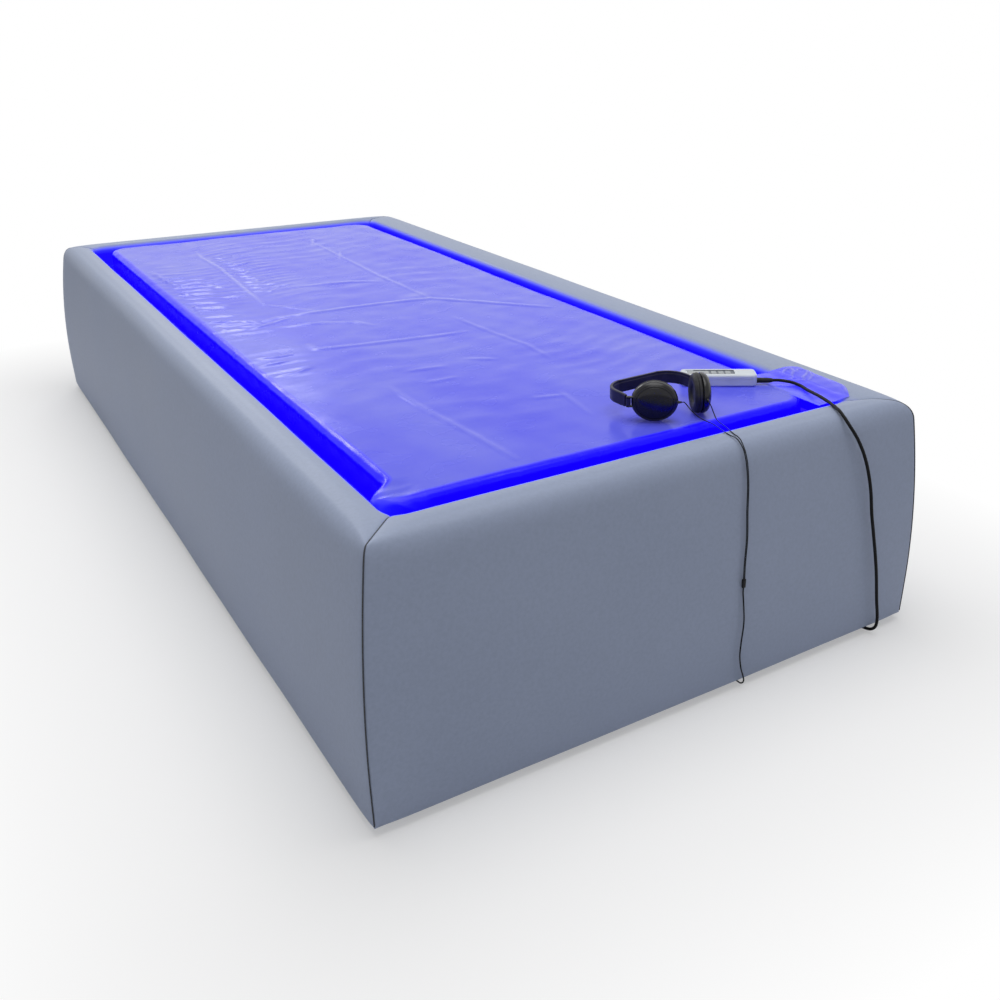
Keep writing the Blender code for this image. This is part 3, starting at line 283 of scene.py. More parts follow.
def smooth(piece, angle=40.0, outward=True):
    """Turn the faces outward and shade them smooth up to an angle."""
    if outward:
        edit_mesh(piece, bpy.ops.mesh.normals_make_consistent, {"inside": False})
    work_on(piece)
    bpy.ops.object.shade_smooth_by_angle(angle=math.radians(angle))
    return piece


def dress(piece, material, body, replaced=()):
    """Give a piece its finish and its body, and hide the nodes that it stands for."""
    piece.data.materials.clear()
    piece.data.materials.append(material)
    if body is not None:
        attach(piece, body)
    if replaced:
        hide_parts(*replaced)
    return piece


def move_points(piece, places):
    """Move a piece's points to new places."""
    piece.data.vertices.foreach_set("co", places.ravel())
    piece.data.update()


def paint(piece, name, values):
    """Give a piece's points an attribute that its finish reads."""
    attribute = piece.data.attributes.new(name, "FLOAT", "POINT")
    attribute.data.foreach_set("value", values.astype(np.float32).ravel())


def by_point(numbers, values, width):
    """Return values that are given ring by ring in the order of a piece's points."""
    ordered = np.zeros((numbers.size, width))
    ordered[numbers.ravel()] = np.asarray(values, float).reshape(-1, width)
    return ordered


def ring_body(name, sides, rings):
    """Add a cylinder, cut it into rings and return it with its point numbers by ring."""
    deselect_all()
    bpy.ops.mesh.primitive_cylinder_add(vertices=sides, radius=0.5, depth=1.0, end_fill_type="NGON")
    piece = take(name)
    cuts = {"number_cuts": rings - 2}
    edit_mesh(piece, bpy.ops.mesh.subdivide, cuts, test=lambda edge: edge_rise(piece, edge) > 0.5)
    ranked = []
    for point in piece.data.vertices:
        level = round((point.co.z + 0.5) * (rings - 1))
        turn = (math.atan2(point.co.y, point.co.x) + 2 * math.pi + 0.01) % (2 * math.pi)
        ranked.append((level, turn, point.index))
    ranked.sort()
    return piece, np.array([number for _, _, number in ranked]).reshape(rings, sides)


def turned_body(name, profile, sides, matrix, angle=35.0):
    """Turn a body about Z from (radius, height) points and set it in place."""
    piece, numbers = ring_body(name, sides, len(profile))
    turns = [2 * math.pi * side / sides for side in range(sides)]
    places = []
    for radius, height in profile:
        places.append([matrix @ Vector((radius * math.cos(t), radius * math.sin(t), height)) for t in turns])
    move_points(piece, by_point(numbers, places, 3))
    return smooth(piece, angle)


def swept_body(name, path, section, angle=40.0, side=None):
    """Sweep a section along a path; the section is a function from the share of the path to its points."""
    piece, numbers = ring_body(name, len(section(0.0)), len(path))
    places = []
    upright = Vector(side) if side is not None else None
    for index, point in enumerate(path):
        ahead = path[min(index + 1, len(path) - 1)]
        behind = path[max(index - 1, 0)]
        run = (ahead - behind).normalized()
        if upright is None:
            upright = run.orthogonal().normalized()
        upright = (upright - run * upright.dot(run)).normalized()
        across = run.cross(upright)
        outline = section(index / (len(path) - 1))
        places.append([point + across * a + upright * b for a, b in outline])
    move_points(piece, by_point(numbers, places, 3))
    return smooth(piece, angle)


def arc(centre, radius, start, stop, count):
    """Return points on an arc, with angles in degrees."""
    points = []
    for step in range(count + 1):
        turn = math.radians(start + (stop - start) * step / count)
        points.append((centre[0] + radius * math.cos(turn), centre[1] + radius * math.sin(turn)))
    return points


def round_section(radius, sides):
    """Return a function that gives a round section."""
    outline = arc((0.0, 0.0), radius, 0.0, 360.0, sides)[:-1]
    return lambda share: outline


def block(name, low, high):
    """Add a box between two corners."""
    low = Vector(low)
    high = Vector(high)
    deselect_all()
    bpy.ops.mesh.primitive_cube_add(size=1.0, location=(low + high) / 2, scale=high - low)
    piece = take(name)
    bpy.ops.object.transform_apply(location=True, rotation=True, scale=True)
    return piece


def bevel_options(offset, segments):
    """Return the options of a bevel of edges."""
    return {"offset": offset, "segments": segments, "affect": "EDGES"}


def soft_block(name, low, high, bevel, segments=4):
    """Add a box between two corners with rounded edges."""
    piece = block(name, low, high)
    edit_mesh(piece, bpy.ops.mesh.bevel, bevel_options(bevel, segments))
    return smooth(piece, 50.0)


def flat_grid(name, columns, rows):
    """Add a flat grid and return it with its points' shares across and along, from -1 to 1."""
    deselect_all()
    bpy.ops.mesh.primitive_grid_add(x_subdivisions=columns, y_subdivisions=rows, size=2.0)
    piece = take(name)
    grid = np.zeros(len(piece.data.vertices) * 3)
    piece.data.vertices.foreach_get("co", grid)
    return piece, grid[0::3], grid[1::3]


def between(pair, share):
    """Return a value between two others."""
    return pair[0] + (pair[1] - pair[0]) * share


def eased(value):
    """Return a value held between 0 and 1 with soft ends."""
    held = np.clip(value, 0.0, 1.0)
    return held * held * (3 - 2 * held)


def climb(values, start, width):
    """Return a soft step from 0 at a start to 1 past a width."""
    return eased((values - start) / width)


# Material helpers


def start_material(name):
    """Return a new material, its node tree, its Principled shader and Object coordinates."""
    material = bpy.data.materials.new(name)
    material.use_nodes = True
    tree = material.node_tree
    place = add_node(tree, "TexCoord", {}).outputs["Object"]
    return material, tree, tree.nodes["Principled BSDF"], place


def fill(tree, node, inputs):
    """Set a node's inputs, by name or number, to values, or link them to sockets."""
    for key, source in inputs.items():
        socket = node.inputs[key]
        if isinstance(source, bpy.types.NodeSocket):
            tree.links.new(source, socket)
        elif socket.type == "RGBA":
            socket.default_value = (*source, 1.0)
        else:
            socket.default_value = source


def add_node(tree, kind, inputs, **settings):
    """Add a shader node with its settings and inputs."""
    node = tree.nodes.new("ShaderNode" + kind)
    for name, value in settings.items():
        setattr(node, name, value)
    fill(tree, node, inputs)
    return node


def stretched(tree, place, scale):
    """Return coordinates stretched along the axes."""
    return add_node(tree, "Mapping", {"Vector": place, "Scale": scale}).outputs["Vector"]


def cloud(tree, place, scale, detail=3.0):
    """Return a noise value."""
    return add_node(tree, "TexNoise", {"Vector": place, "Scale": scale, "Detail": detail}).outputs["Fac"]


def wave(tree, place, scale, direction):
    """Return the value of a pattern of even waves."""
    inputs = {"Vector": place, "Scale": scale}
    return add_node(tree, "TexWave", inputs, bands_direction=direction).outputs["Fac"]


def ramp(tree, value, stops):
    """Return a colour from a value, by (place, colour) stops."""
    node = add_node(tree, "ValToRGB", {"Fac": value})
    elements = node.color_ramp.elements
    while len(elements) < len(stops):
        elements.new(0.5)
    for element, (position, colour) in zip(elements, stops):
        element.position = position
        element.color = (*colour, 1.0)
    return node.outputs["Color"]


def span(tree, value, low, high, start=0.3, stop=0.7):
    """Return a value mapped to a new range, by default from the usual range of a noise."""
    limits = {"From Min": start, "From Max": stop, "To Min": low, "To Max": high}
    return add_node(tree, "MapRange", {"Value": value, **limits}).outputs["Result"]


def mixed(tree, share, first, second, blend="MIX"):
    """Return two colours mixed by a share."""
    inputs = {0: share, 6: first, 7: second}
    return add_node(tree, "Mix", inputs, data_type="RGBA", blend_type=blend).outputs[2]


def reckon(tree, operation, *values):
    """Return the result of one calculation."""
    return add_node(tree, "Math", dict(enumerate(values)), operation=operation).outputs["Value"]


def raised(tree, height, strength, distance, **base):
    """Return a bumped normal, on top of another one if it is given as Normal."""
    inputs = {"Strength": strength, "Distance": distance, "Height": height, **base}
    return add_node(tree, "Bump", inputs).outputs["Normal"]


def painted(tree, name):
    """Return the value of a piece's own attribute."""
    return add_node(tree, "Attribute", {}, attribute_name=name).outputs["Fac"]


# Finishes

BLACK = (0.0, 0.0, 0.0)
WHITE = (1.0, 1.0, 1.0)
# Blue of the LED light that is painted, as colour and glow, onto the leather and the film
PAINTED_LED_BLUE = (0.006, 0.0, 1.0)


def plain_finish(name, dark, light, scale, rough, grain=None, coat=0.0, shine=0.5):
    """Return a finish mottled between two colours, with uneven gloss and a fine grain."""
    material, tree, shader, place = start_material(name)
    fill(tree, shader, {
        "Base Color": ramp(tree, cloud(tree, place, scale), ((0.30, dark), (0.70, light))),
        "Roughness": span(tree, cloud(tree, place, scale * 2.7), *rough),
        "Specular IOR Level": shine, "Coat Weight": coat, "Coat Roughness": 0.08,
    })
    if grain is not None:
        grain_scale, strength, distance = grain
        fill(tree, shader, {"Normal": raised(tree, cloud(tree, place, grain_scale), strength, distance)})
    return material


def leather_finish():
    """Return the grey satin leather, with painted blue LED light, as deep blue colour and glow, where it
    lines the channel.
    """
    material, tree, shader, place = start_material("grey_leather")
    broad = cloud(tree, place, 2.2, 4.0)
    tone = ramp(tree, broad, ((0.30, (0.312, 0.366, 0.500)), (0.70, (0.345, 0.400, 0.540))))
    speck = span(tree, cloud(tree, place, 160.0, 2.0), 0.965, 1.035)
    tone = mixed(tree, 1.0, tone, speck, "MULTIPLY")
    # Painted LED light: where the cover lines the channel, its base colour turns deep blue and it glows blue
    painted_glow = painted(tree, "painted_glow")
    pebble = add_node(tree, "TexVoronoi", {"Vector": place, "Scale": 620.0}).outputs["Distance"]
    grain = raised(tree, pebble, 0.16, 0.0003)
    fill(tree, shader, {
        "Base Color": mixed(tree, painted_glow, tone, (0.02, 0.01, 0.70)),
        "Emission Color": mixed(tree, painted_glow, BLACK, PAINTED_LED_BLUE),
        "Emission Strength": 0.75,
        "Roughness": span(tree, broad, 0.40, 0.50),
        "Specular IOR Level": 0.22,
        "Normal": raised(tree, cloud(tree, place, 9.0), 0.10, 0.004, Normal=grain),
    })
    return material


def film_finish(name, alpha, specular):
    """Return the glossy lilac film, with a painted highlight on its folds, and painted blue LED light, as
    deep blue colour and glow, where the lights reach it.
    """
    material, tree, shader, place = start_material(name)
    blotch = cloud(tree, stretched(tree, place, (1.0, 0.6, 1.0)), 5.0, 4.0)
    tone = ramp(tree, blotch, (
        (0.32, (0.084, 0.094, 0.80)), (0.50, (0.112, 0.128, 0.80)), (0.68, (0.146, 0.166, 0.78)),
    ))
    # Painted highlight: paler along the film's folds; on the lap's curls the paleness is partly the doubled
    # film
    tone = mixed(tree, painted(tree, "pale"), tone, (0.58, 0.60, 0.92))
    # Painted LED light: the base colour turns deep blue where the lights would reach the film
    painted_glow = painted(tree, "painted_glow")
    deep = ramp(tree, painted_glow, ((0.0, WHITE), (0.5, (0.30, 0.20, 1.0)), (1.0, (0.03, 0.0, 0.8))))
    crinkle = cloud(tree, stretched(tree, place, (9.0, 34.0, 9.0)), 1.6, 4.0)
    fill(tree, shader, {
        "Base Color": mixed(tree, 1.0, tone, deep, "MULTIPLY"),
        # Painted glow: the whole film glows faintly blue, and strongly blue where the lights would reach it
        "Emission Color": mixed(tree, painted_glow, (0.010, 0.008, 0.10), PAINTED_LED_BLUE),
        "Emission Strength": 0.9,
        "Roughness": span(tree, cloud(tree, place, 14.0), 0.18, 0.30),
        "Specular IOR Level": specular,
        "Alpha": alpha,
        "Normal": raised(tree, crinkle, 0.10, 0.004),
    })
    return material


def light_finish():
    """Return the frosted blue diffuser, brighter over each lamp inside."""
    material, tree, shader, place = start_material("blue_diffuser")
    lamps = wave(tree, place, 9.0, "DIAGONAL")
    fill(tree, shader, {
        "Base Color": (0.02, 0.008, 0.60),
        "Emission Color": ramp(tree, lamps, ((0.0, (0.0015, 0.0, 0.92)), (1.0, (0.006, 0.002, 1.0)))),
        "Emission Strength": 4.0, "Roughness": 0.5, "Specular IOR Level": 0.12,
    })
    return material


def plywood_finish():
    """Return plain plywood with long grain."""
    material, tree, shader, place = start_material("plywood")
    grain = cloud(tree, stretched(tree, place, (3.0, 60.0, 60.0)), 1.4, 6.0)
    stops = ((0.30, (0.36, 0.23, 0.12)), (0.52, (0.50, 0.35, 0.20)), (0.72, (0.60, 0.45, 0.28)))
    fill(tree, shader, {
        "Base Color": ramp(tree, grain, stops),
        "Roughness": span(tree, grain, 0.60, 0.80),
        "Normal": raised(tree, grain, 0.2, 0.001),
    })
    return material


def handset_finish():
    """Return white plastic, with the sunk strip round the keys in grey."""
    material, tree, shader, place = start_material("handset_white")
    own = {"Vector": place, "Location": (*HANDSET_PLACE, REST_TOP), "Rotation": (0.0, 0.0, HANDSET_TURN)}
    own_place = add_node(tree, "Mapping", own, vector_type="TEXTURE").outputs["Vector"]
    parts = add_node(tree, "SeparateXYZ", {"Vector": own_place}).outputs
    share = 1.0
    for axis, limits in HANDSET_STRIP.items():
        share = reckon(tree, "MULTIPLY", share, reckon(tree, "COMPARE", parts[axis], *limits))
    patches = cloud(tree, place, 40.0)
    tone = ramp(tree, patches, ((0.3, (0.62, 0.67, 0.72)), (0.7, (0.70, 0.75, 0.80))))
    fill(tree, shader, {
        "Base Color": mixed(tree, share, tone, (0.10, 0.115, 0.15)),
        "Roughness": span(tree, patches, 0.28, 0.38, 0.0, 1.0),
    })
    return material


def heater_finish():
    """Return the heater mat with its printed wire lines."""
    material, tree, shader, place = start_material("heater_mat")
    lines = wave(tree, place, 12.0, "X")
    fill(tree, shader, {
        "Base Color": ramp(tree, lines, ((0.80, (0.10, 0.05, 0.04)), (0.95, (0.42, 0.20, 0.10)))),
        "Roughness": span(tree, cloud(tree, place, 30.0), 0.5, 0.7, 0.0, 1.0),
    })
    return material


# Plain finishes: name, dark, light, patch scale, roughness, then grain, coat and shine where they matter
PLAIN_FINISHES = {
    # Seam cord: a real sewn seam, near black as painted shade for the shadow in the seam's groove
    "seam": ("seam_cord_painted_shade", (0.020, 0.022, 0.028), (0.05, 0.055, 0.068), 300.0, (0.55, 0.7)),
    "foam": (
        "pale_foam", (0.62, 0.58, 0.45), (0.78, 0.75, 0.64), 40.0, (0.85, 0.95), (900.0, 0.5, 0.0006)),
    "bladder": (
        "bladder_rubber", (0.025, 0.026, 0.030), (0.055, 0.057, 0.062), 12.0, (0.5, 0.65),
        (700.0, 0.2, 0.0003)),
    "insulation": (
        "insulation_board", (0.62, 0.66, 0.58), (0.78, 0.80, 0.72), 120.0, (0.8, 0.9), (500.0, 0.3, 0.0006)),
    "tub": (
        "tub_plastic", (0.020, 0.016, 0.36), (0.030, 0.026, 0.44), 6.0, (0.45, 0.60), (400.0, 0.06, 0.0003)),
    "board": (
        "platform_plastic", (0.58, 0.60, 0.62), (0.70, 0.72, 0.74), 9.0, (0.35, 0.50), (500.0, 0.1, 0.0003)),
    "rubber": (
        "black_rubber", (0.022, 0.022, 0.023), (0.05, 0.05, 0.052), 60.0, (0.6, 0.8), (900.0, 0.2, 0.0003)),
    "case": (
        "case_paint", (0.12, 0.13, 0.14), (0.18, 0.19, 0.20), 14.0, (0.38, 0.5), (1200.0, 0.15, 0.0002)),
    "key": (
        "key_grey", (0.30, 0.32, 0.34), (0.42, 0.44, 0.46), 120.0, (0.45, 0.6), (1500.0, 0.1, 0.0001)),
    "window": (
        "window_dark", (0.20, 0.22, 0.24), (0.30, 0.32, 0.34), 60.0, (0.10, 0.2), None, 0.6),
    "gloss": (
        "cup_gloss", (0.004, 0.004, 0.006), (0.010, 0.010, 0.013), 50.0, (0.16, 0.28), None, 0.15, 0.25),
    # Band and arms: dark satin, with a blue tint that is painted light from the lit film
    "satin": (
        "band_satin_painted_blue", (0.013, 0.012, 0.030), (0.028, 0.026, 0.062), 50.0, (0.30, 0.42),
        (1400.0, 0.1, 0.0002), 0.0, 0.25),
    "cushion": (
        "cushion_leather", (0.008, 0.008, 0.010), (0.020, 0.020, 0.023), 90.0, (0.45, 0.6),
        (800.0, 0.4, 0.0006), 0.0, 0.25),
    "cord": (
        "cord_rubber", (0.003, 0.003, 0.004), (0.008, 0.008, 0.009), 200.0, (0.42, 0.55),
        (1500.0, 0.1, 0.0002), 0.0, 0.15),
    "black": (
        "black_plastic", (0.004, 0.004, 0.005), (0.010, 0.010, 0.012), 80.0, (0.35, 0.5),
        (1500.0, 0.1, 0.0002), 0.0, 0.2),
}
FINISH = {key: plain_finish(*row) for key, row in PLAIN_FINISHES.items()}
FINISH["leather"] = leather_finish()
FINISH["film"] = film_finish("lit_film", 1.0, 0.16)
FINISH["loose_film"] = film_finish("loose_film", 0.80, 0.45)
FINISH["light"] = light_finish()
FINISH["plywood"] = plywood_finish()
FINISH["heater"] = heater_finish()
FINISH["white"] = handset_finish()


# Camera


def make_camera():
    """Add the camera at the photograph's place."""
    level = math.cos(CAMERA_PITCH)
    ahead = Vector((math.sin(CAMERA_YAW) * level, math.cos(CAMERA_YAW) * level, -math.sin(CAMERA_PITCH)))
    right = Vector((math.cos(CAMERA_YAW), -math.sin(CAMERA_YAW), 0.0))
    above = right.cross(ahead)
    turned_right = right * math.cos(CAMERA_ROLL) + above * math.sin(CAMERA_ROLL)
    turned_above = above * math.cos(CAMERA_ROLL) - right * math.sin(CAMERA_ROLL)
    deselect_all()
    bpy.ops.object.camera_add()
    camera = take("photo_camera")
    matrix = Matrix((turned_right, turned_above, -ahead)).transposed().to_4x4()
    matrix.translation = Vector(CAMERA_PLACE)
    camera.matrix_world = matrix
    camera.data.lens = CAMERA_LENS
    camera.data.sensor_width = CAMERA_SENSOR
    camera.data.shift_x, camera.data.shift_y = CAMERA_SHIFT
    bpy.context.scene.camera = camera


make_camera()

# Places of the handset and the headphones


def handset_matrix():
    """Return the transform from the handset's own frame to the bed."""
    return Matrix.Translation((*HANDSET_PLACE, REST_TOP)) @ Matrix.Rotation(HANDSET_TURN, 4, "Z")


def phones_matrix():
    """Return the transform from the headphones' own frame to the bed."""
    place = Matrix.Translation((*PHONES_PLACE, REST_TOP + CUP_HEIGHT / 2))
    return place @ Matrix.Rotation(PHONES_TURN, 4, "Z")


def cup_matrix(sign):
    """Return the transform from a cup's frame (X from hinge to tip, Y outward) to the bed."""
    hinge = Matrix.Translation((sign * PHONES_HALF_WIDTH, 0.0, 0.0))
    turn = Matrix.Rotation(-math.pi / 2 - sign * CUP_FOLD[sign], 4, "Z")
    outward = Matrix.Scale(sign, 4, (0.0, 1.0, 0.0))
    return phones_matrix() @ hinge @ turn @ outward


# Cords, with route points as (across from a start, inset from the foot face, height from a level)

HANDSET_WALL = (
    (0.1041, 0.2268, 0.0018), (0.1105, 0.2175, 0.0002), (0.1104, 0.1995, -0.0002),
    (0.1033, 0.1780, 0.0005), (0.0962, 0.1566, 0.0022), (0.0904, 0.1366, 0.0036),
    (0.0842, 0.1141, 0.0040), (0.0767, 0.0896, 0.0038), (0.0690, 0.0700, 0.0036),
    (0.0627, 0.0532, 0.0020), (0.0628, 0.0320, -0.0136), (0.0763, 0.0206, -0.0395),
    (0.0894, 0.0125, -0.0708), (0.0989, 0.0063, -0.1050), (0.1052, 0.0011, -0.1408),
    (0.1096, -0.0030, -0.1810), (0.1167, -0.0067, -0.2207), (0.1243, -0.0110, -0.2644),
    (0.1312, -0.0143, -0.3082),
)
HANDSET_LOW = ((0.1396, HANDSET_STANDOFF, 0.0833), (0.1466, HANDSET_STANDOFF, 0.0520))
LEAD_FILM = {
    -1: (
        (0.0058, 0.1690, 0.0185), (0.0116, 0.1608, 0.0104), (0.0180, 0.1525, 0.0044),
        (0.0232, 0.1440, 0.0012), (0.0246, 0.1370, 0.0010), (0.0225, 0.1261, 0.0016),
        (0.0189, 0.1070, 0.0016), (0.0145, 0.0814, 0.0014), (0.0132, 0.0570, 0.0008),
    ),
    1: (
        (0.0345, 0.1515, 0.0262), (0.0368, 0.1478, 0.0170), (0.0385, 0.1442, 0.0090),
        (0.0388, 0.1405, 0.0045), (0.0376, 0.1330, 0.0022), (0.0355, 0.1211, 0.0016),
        (0.0306, 0.1016, 0.0016), (0.0234, 0.0779, 0.0014), (0.0188, 0.0570, 0.0008),
    ),
}
LEAD_WALL = (
    (0.0142, 0.0420, -0.0088), (0.0130, 0.0345, -0.0183), (0.0146, 0.0299, -0.0374),
    (0.0127, 0.0223, -0.0695), (0.0086, 0.0154, -0.1107), (0.0065, 0.0091, -0.1564),
    (0.0015, 0.0043, -0.2003), (0.0002, 0.0025, -0.2170),
)
TRUNK_TOP = (
    (*SPLIT_PLACE, 0.0), (-0.0012, 0.0004, -0.010), (-0.0005, -0.0020, -0.029), (0.0011, -0.0040, -0.056),
    (0.0002, -0.0053, -0.074),
)
TRUNK_LOW = (
    (-0.0036, -0.0067, 0.0980), (-0.0056, -0.0080, 0.0740), (-0.0024, TRUNK_STANDOFF, 0.0497),
    (0.0031, TRUNK_STANDOFF, 0.0335),
)
QUARTER = ((0.0, 1.0), (0.13, 0.5), (0.5, 0.13), (1.0, 0.0))
STRAIGHT = (0.0, 0.0, 0.0, 0.0)


def foot_route(start_x, points, level=0.0):
    """Return the places of route points."""
    places = []
    for across, inset, height in points:
        places.append(Vector((start_x + across, inset - HALF_LENGTH, level + height)))
    return places


def quarter_turn(start_x, offsets, inset, level, inward, upward):
    """Return the four points of a cord's turn between upright, at an inset, and level, at a height."""
    points = []
    for across, (level_share, upright_share) in zip(offsets, QUARTER):
        points.append((across, inset + inward * level_share, level + upward * upright_share))
    return foot_route(start_x, points)


def socket_end(start_x, turn, plug):
    """Return the points of a cord that climbs in the cable gap and runs to its socket."""
    last = CONTROL_INSET - plug
    straight = ((0.0, last - 0.004, SOCKET_LEVEL), (0.0, last - 2 * FIT_GAP, SOCKET_LEVEL))
    bent = quarter_turn(start_x, STRAIGHT, CABLE_INSET, SOCKET_LEVEL, turn, -turn)
    return bent + foot_route(start_x, straight)


def handset_route():
    """Return the handset cord's route: boot, film, rim, foot wall, floor gap, socket."""
    to_bed = handset_matrix()
    start = HANDSET_LENGTH / 2 + FIT_GAP + BOOT_LENGTH + FIT_GAP
    route = [to_bed @ Vector((start + reach, -BOOT_SIDE, BOOT_HEIGHT)) for reach in (0.0, 0.006, 0.012)]
    x = HANDSET_PLACE[0]
    turn = HANDSET_BEND
    route += foot_route(x, HANDSET_WALL, RIM_TOP) + foot_route(x, HANDSET_LOW)
    route += quarter_turn(x, (0.1488, 0.1492, 0.1488, 0.1475), HANDSET_STANDOFF, CORD_LOW, turn, turn)
    route += foot_route(x, ((0.1400, UNDER_INSET, CORD_LOW),))
    route += quarter_turn(x, (0.1215, 0.1235, 0.1270, 0.1310), CABLE_INSET, CORD_LOW, -turn, turn)[::-1]
    return route + socket_end(HANDSET_SOCKET_X, turn, PLUG_LENGTH)


def lead_route(sign):
    """Return one headphone lead's route from its cup to the y-split."""
    to_cup = cup_matrix(sign)
    start = CUP_START + CUP_LENGTH + GLAND_LENGTH + FIT_GAP
    route = [to_cup @ Vector((start + reach, 0.0, 0.0)) for reach in (0.0, 0.004)]
    x = PHONES_PLACE[0]
    shared_x = x + sign * LEAD_SPACING / 2
    split_top = SPLIT_MIDDLE + SPLIT_HEIGHT / 2 + FIT_GAP
    route += foot_route(x, LEAD_FILM[sign], RIM_TOP) + foot_route(shared_x, LEAD_WALL, RIM_TOP)
    return route + foot_route(shared_x, ((*SPLIT_PLACE, split_top),))


def trunk_route():
    """Return the joined headphone cord's route from the y-split to its jack."""
    x = PHONES_PLACE[0]
    turn = TRUNK_BEND
    top = SPLIT_MIDDLE - SPLIT_HEIGHT / 2 - FIT_GAP
    route = foot_route(x, TRUNK_TOP, top) + foot_route(x, TRUNK_LOW)
    route += quarter_turn(x, (0.0066, 0.0075, 0.0079, 0.0081), TRUNK_STANDOFF, CORD_LOW, turn, turn)
    route += foot_route(x, ((0.0089, UNDER_INSET, CORD_LOW),))
    route += quarter_turn(PHONES_SOCKET_X, STRAIGHT, CABLE_INSET, CORD_LOW, -turn, turn)[::-1]
    return route + socket_end(PHONES_SOCKET_X, turn, JACK_LENGTH)


def smooth_route(route, count, steps=24):
    """Return evenly spaced points on a smooth curve through the route."""
    ends = [route[0] * 2 - route[1]] + route + [route[-1] * 2 - route[-2]]
    fine = []
    for index in range(1, len(ends) - 2):
        before, start, stop, after = ends[index - 1:index + 3]
        for step in range(steps):
            part = step / steps
            linear = (stop - before) * part
            square = (before * 2 - start * 5 + stop * 4 - after) * part ** 2
            cubic = (start * 3 - before - stop * 3 + after) * part ** 3
            fine.append((start * 2 + linear + square + cubic) / 2)
    fine.append(route[-1])
    runs = [0.0]
    for before, after in zip(fine, fine[1:]):
        runs.append(runs[-1] + (after - before).length)
    targets = np.linspace(0.0, runs[-1], count)
    axes = [np.interp(targets, runs, [point[axis] for point in fine]) for axis in range(3)]
    return [Vector(place) for place in zip(*axes)]


def curve_cord(name, points, diameter):
    """Return a cord as a bevelled curve."""
    curve = bpy.data.curves.new(name, "CURVE")
    curve.dimensions = "3D"
    curve.bevel_depth = diameter / 2
    curve.bevel_resolution = 4
    curve.use_fill_caps = True
    spline = curve.splines.new("POLY")
    spline.points.add(len(points) - 1)
    for knot, point in zip(spline.points, points):
        knot.co = (*point, 1.0)
    spline.use_smooth = True
    piece = bpy.data.objects.new(name, curve)
    bpy.context.scene.collection.objects.link(piece)
    return piece


def make_cords():
    """Make the handset cord, the joined headphone cord and the two headphone leads."""
    for name, node, route, diameter, count, stiffness, ends in (
        ("handset_cable", "handset_cord", handset_route(), HANDSET_CORD, 260, "medium",
         ["handset_plug", "handset_boot"]),
        ("headphone_cable", "headphone_cord", trunk_route(), TRUNK_DIAMETER, 220, "limp",
         ["headphone_jack", "y_split"]),
    ):
        points = smooth_route(route, count)
        cable = curve_cord(name, points, diameter)
        dress(cable, FINISH["cord"], "bed", [node])
    for side, sign in (("left", -1), ("right", 1)):
        points = smooth_route(lead_route(sign), 102)
        lead = swept_body(side + "_cup_lead", points, round_section(LEAD_DIAMETER / 2, 10))
        dress(lead, FINISH["cord"], None, [side + "_lead"])
        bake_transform(lead)


make_cords()

# Leather covers


def on_side(side, along, inset, height):
    """Return a point given along one wall, inward from its outer face, and up from the floor."""
    if side == "foot":
        return (along, inset - HALF_LENGTH, height)
    if side == "head":
        return (-along, HALF_LENGTH - inset, height)
    if side == "left":
        return (inset - HALF_WIDTH, -along, height)
    return (HALF_WIDTH - inset, along, height)


def half_run(side):
    """Return half the outer length of one wall."""
    return HALF_WIDTH if side in ("foot", "head") else HALF_LENGTH


def face_inset(side, height):
    """Return how far a wall's outer face has come in at a height, by its lean and its swell."""
    lean = LEAN_CURVE * max(height - LEAN_START, 0.0) ** 2
    return LEAN_SHARE[side] * lean - SWELL[side] * math.sin(SWELL_RATE * height)


def bend(start, first, second, stop, count):
    """Return points on a cubic curve, without its first point."""
    points = []
    for step in range(1, count + 1):
        t = step / count
        s = 1 - t
        points.append(start * s ** 3 + first * 3 * s * s * t + second * 3 * s * t * t + stop * t ** 3)
    return points


def cover_section(side, crisp):
    """Return a wall cover's outline as (inset, height) and how many of its points are visible."""
    high = between(ROUND_HEIGHT, crisp)
    wide = between(ROUND_WIDTH[side], crisp)
    shoulder = RIM_TOP - high
    outline = [Vector((inset, FLOOR_GAP + height)) for inset, height in HEM]
    for step in range(FACE_STEPS + 1):
        height = between((FLOOR_GAP + HEM_TOP, shoulder), step / FACE_STEPS)
        outline.append(Vector((face_inset(side, height), height)))
    start = outline[-1]
    turn = 2 * LEAN_SHARE[side] * LEAN_CURVE * (shoulder - LEAN_START)
    turn -= SWELL[side] * SWELL_RATE * math.cos(SWELL_RATE * shoulder)
    first = start + Vector((turn, 1.0)).normalized() * high * HANDLE
    drop = CORNER_DROP * crisp
    crown = CROWN * (1 - crisp)
    outer_edge = Vector((start.x + wide, RIM_TOP - crown - drop))
    outline += bend(start, first, outer_edge - Vector((wide * HANDLE, -0.0002)), outer_edge, 9)
    for step in range(1, RIM_STEPS + 1):
        t = step / RIM_STEPS
        height = RIM_TOP - crown * (2 * t - 1) ** 2 - drop * (1 - t)
        outline.append(Vector((between((outer_edge.x, INNER_FACE - INNER_ROUND), t), height)))
    start = outline[-1]
    stop = Vector((INNER_FACE, RIM_TOP - INNER_ROUND))
    handle = INNER_ROUND * HANDLE
    outline += bend(start, start + Vector((handle, 0.0)), stop + Vector((0.0, handle)), stop, 7)
    seat = FLANGE_TOP + EDGE_GAP
    for step in range(1, LINING_STEPS + 1):
        outline.append(Vector((INNER_FACE, between((stop.y, seat), step / LINING_STEPS))))
    visible = len(outline)
    board = BOARD_FACE + FIT_GAP
    hidden = ((board, seat), (board, BOARD_TOP), (PAD_OUTER, BOARD_TOP), (PAD_OUTER, FLOOR_GAP + EDGE_GAP))
    return outline + [Vector(point) for point in hidden], visible


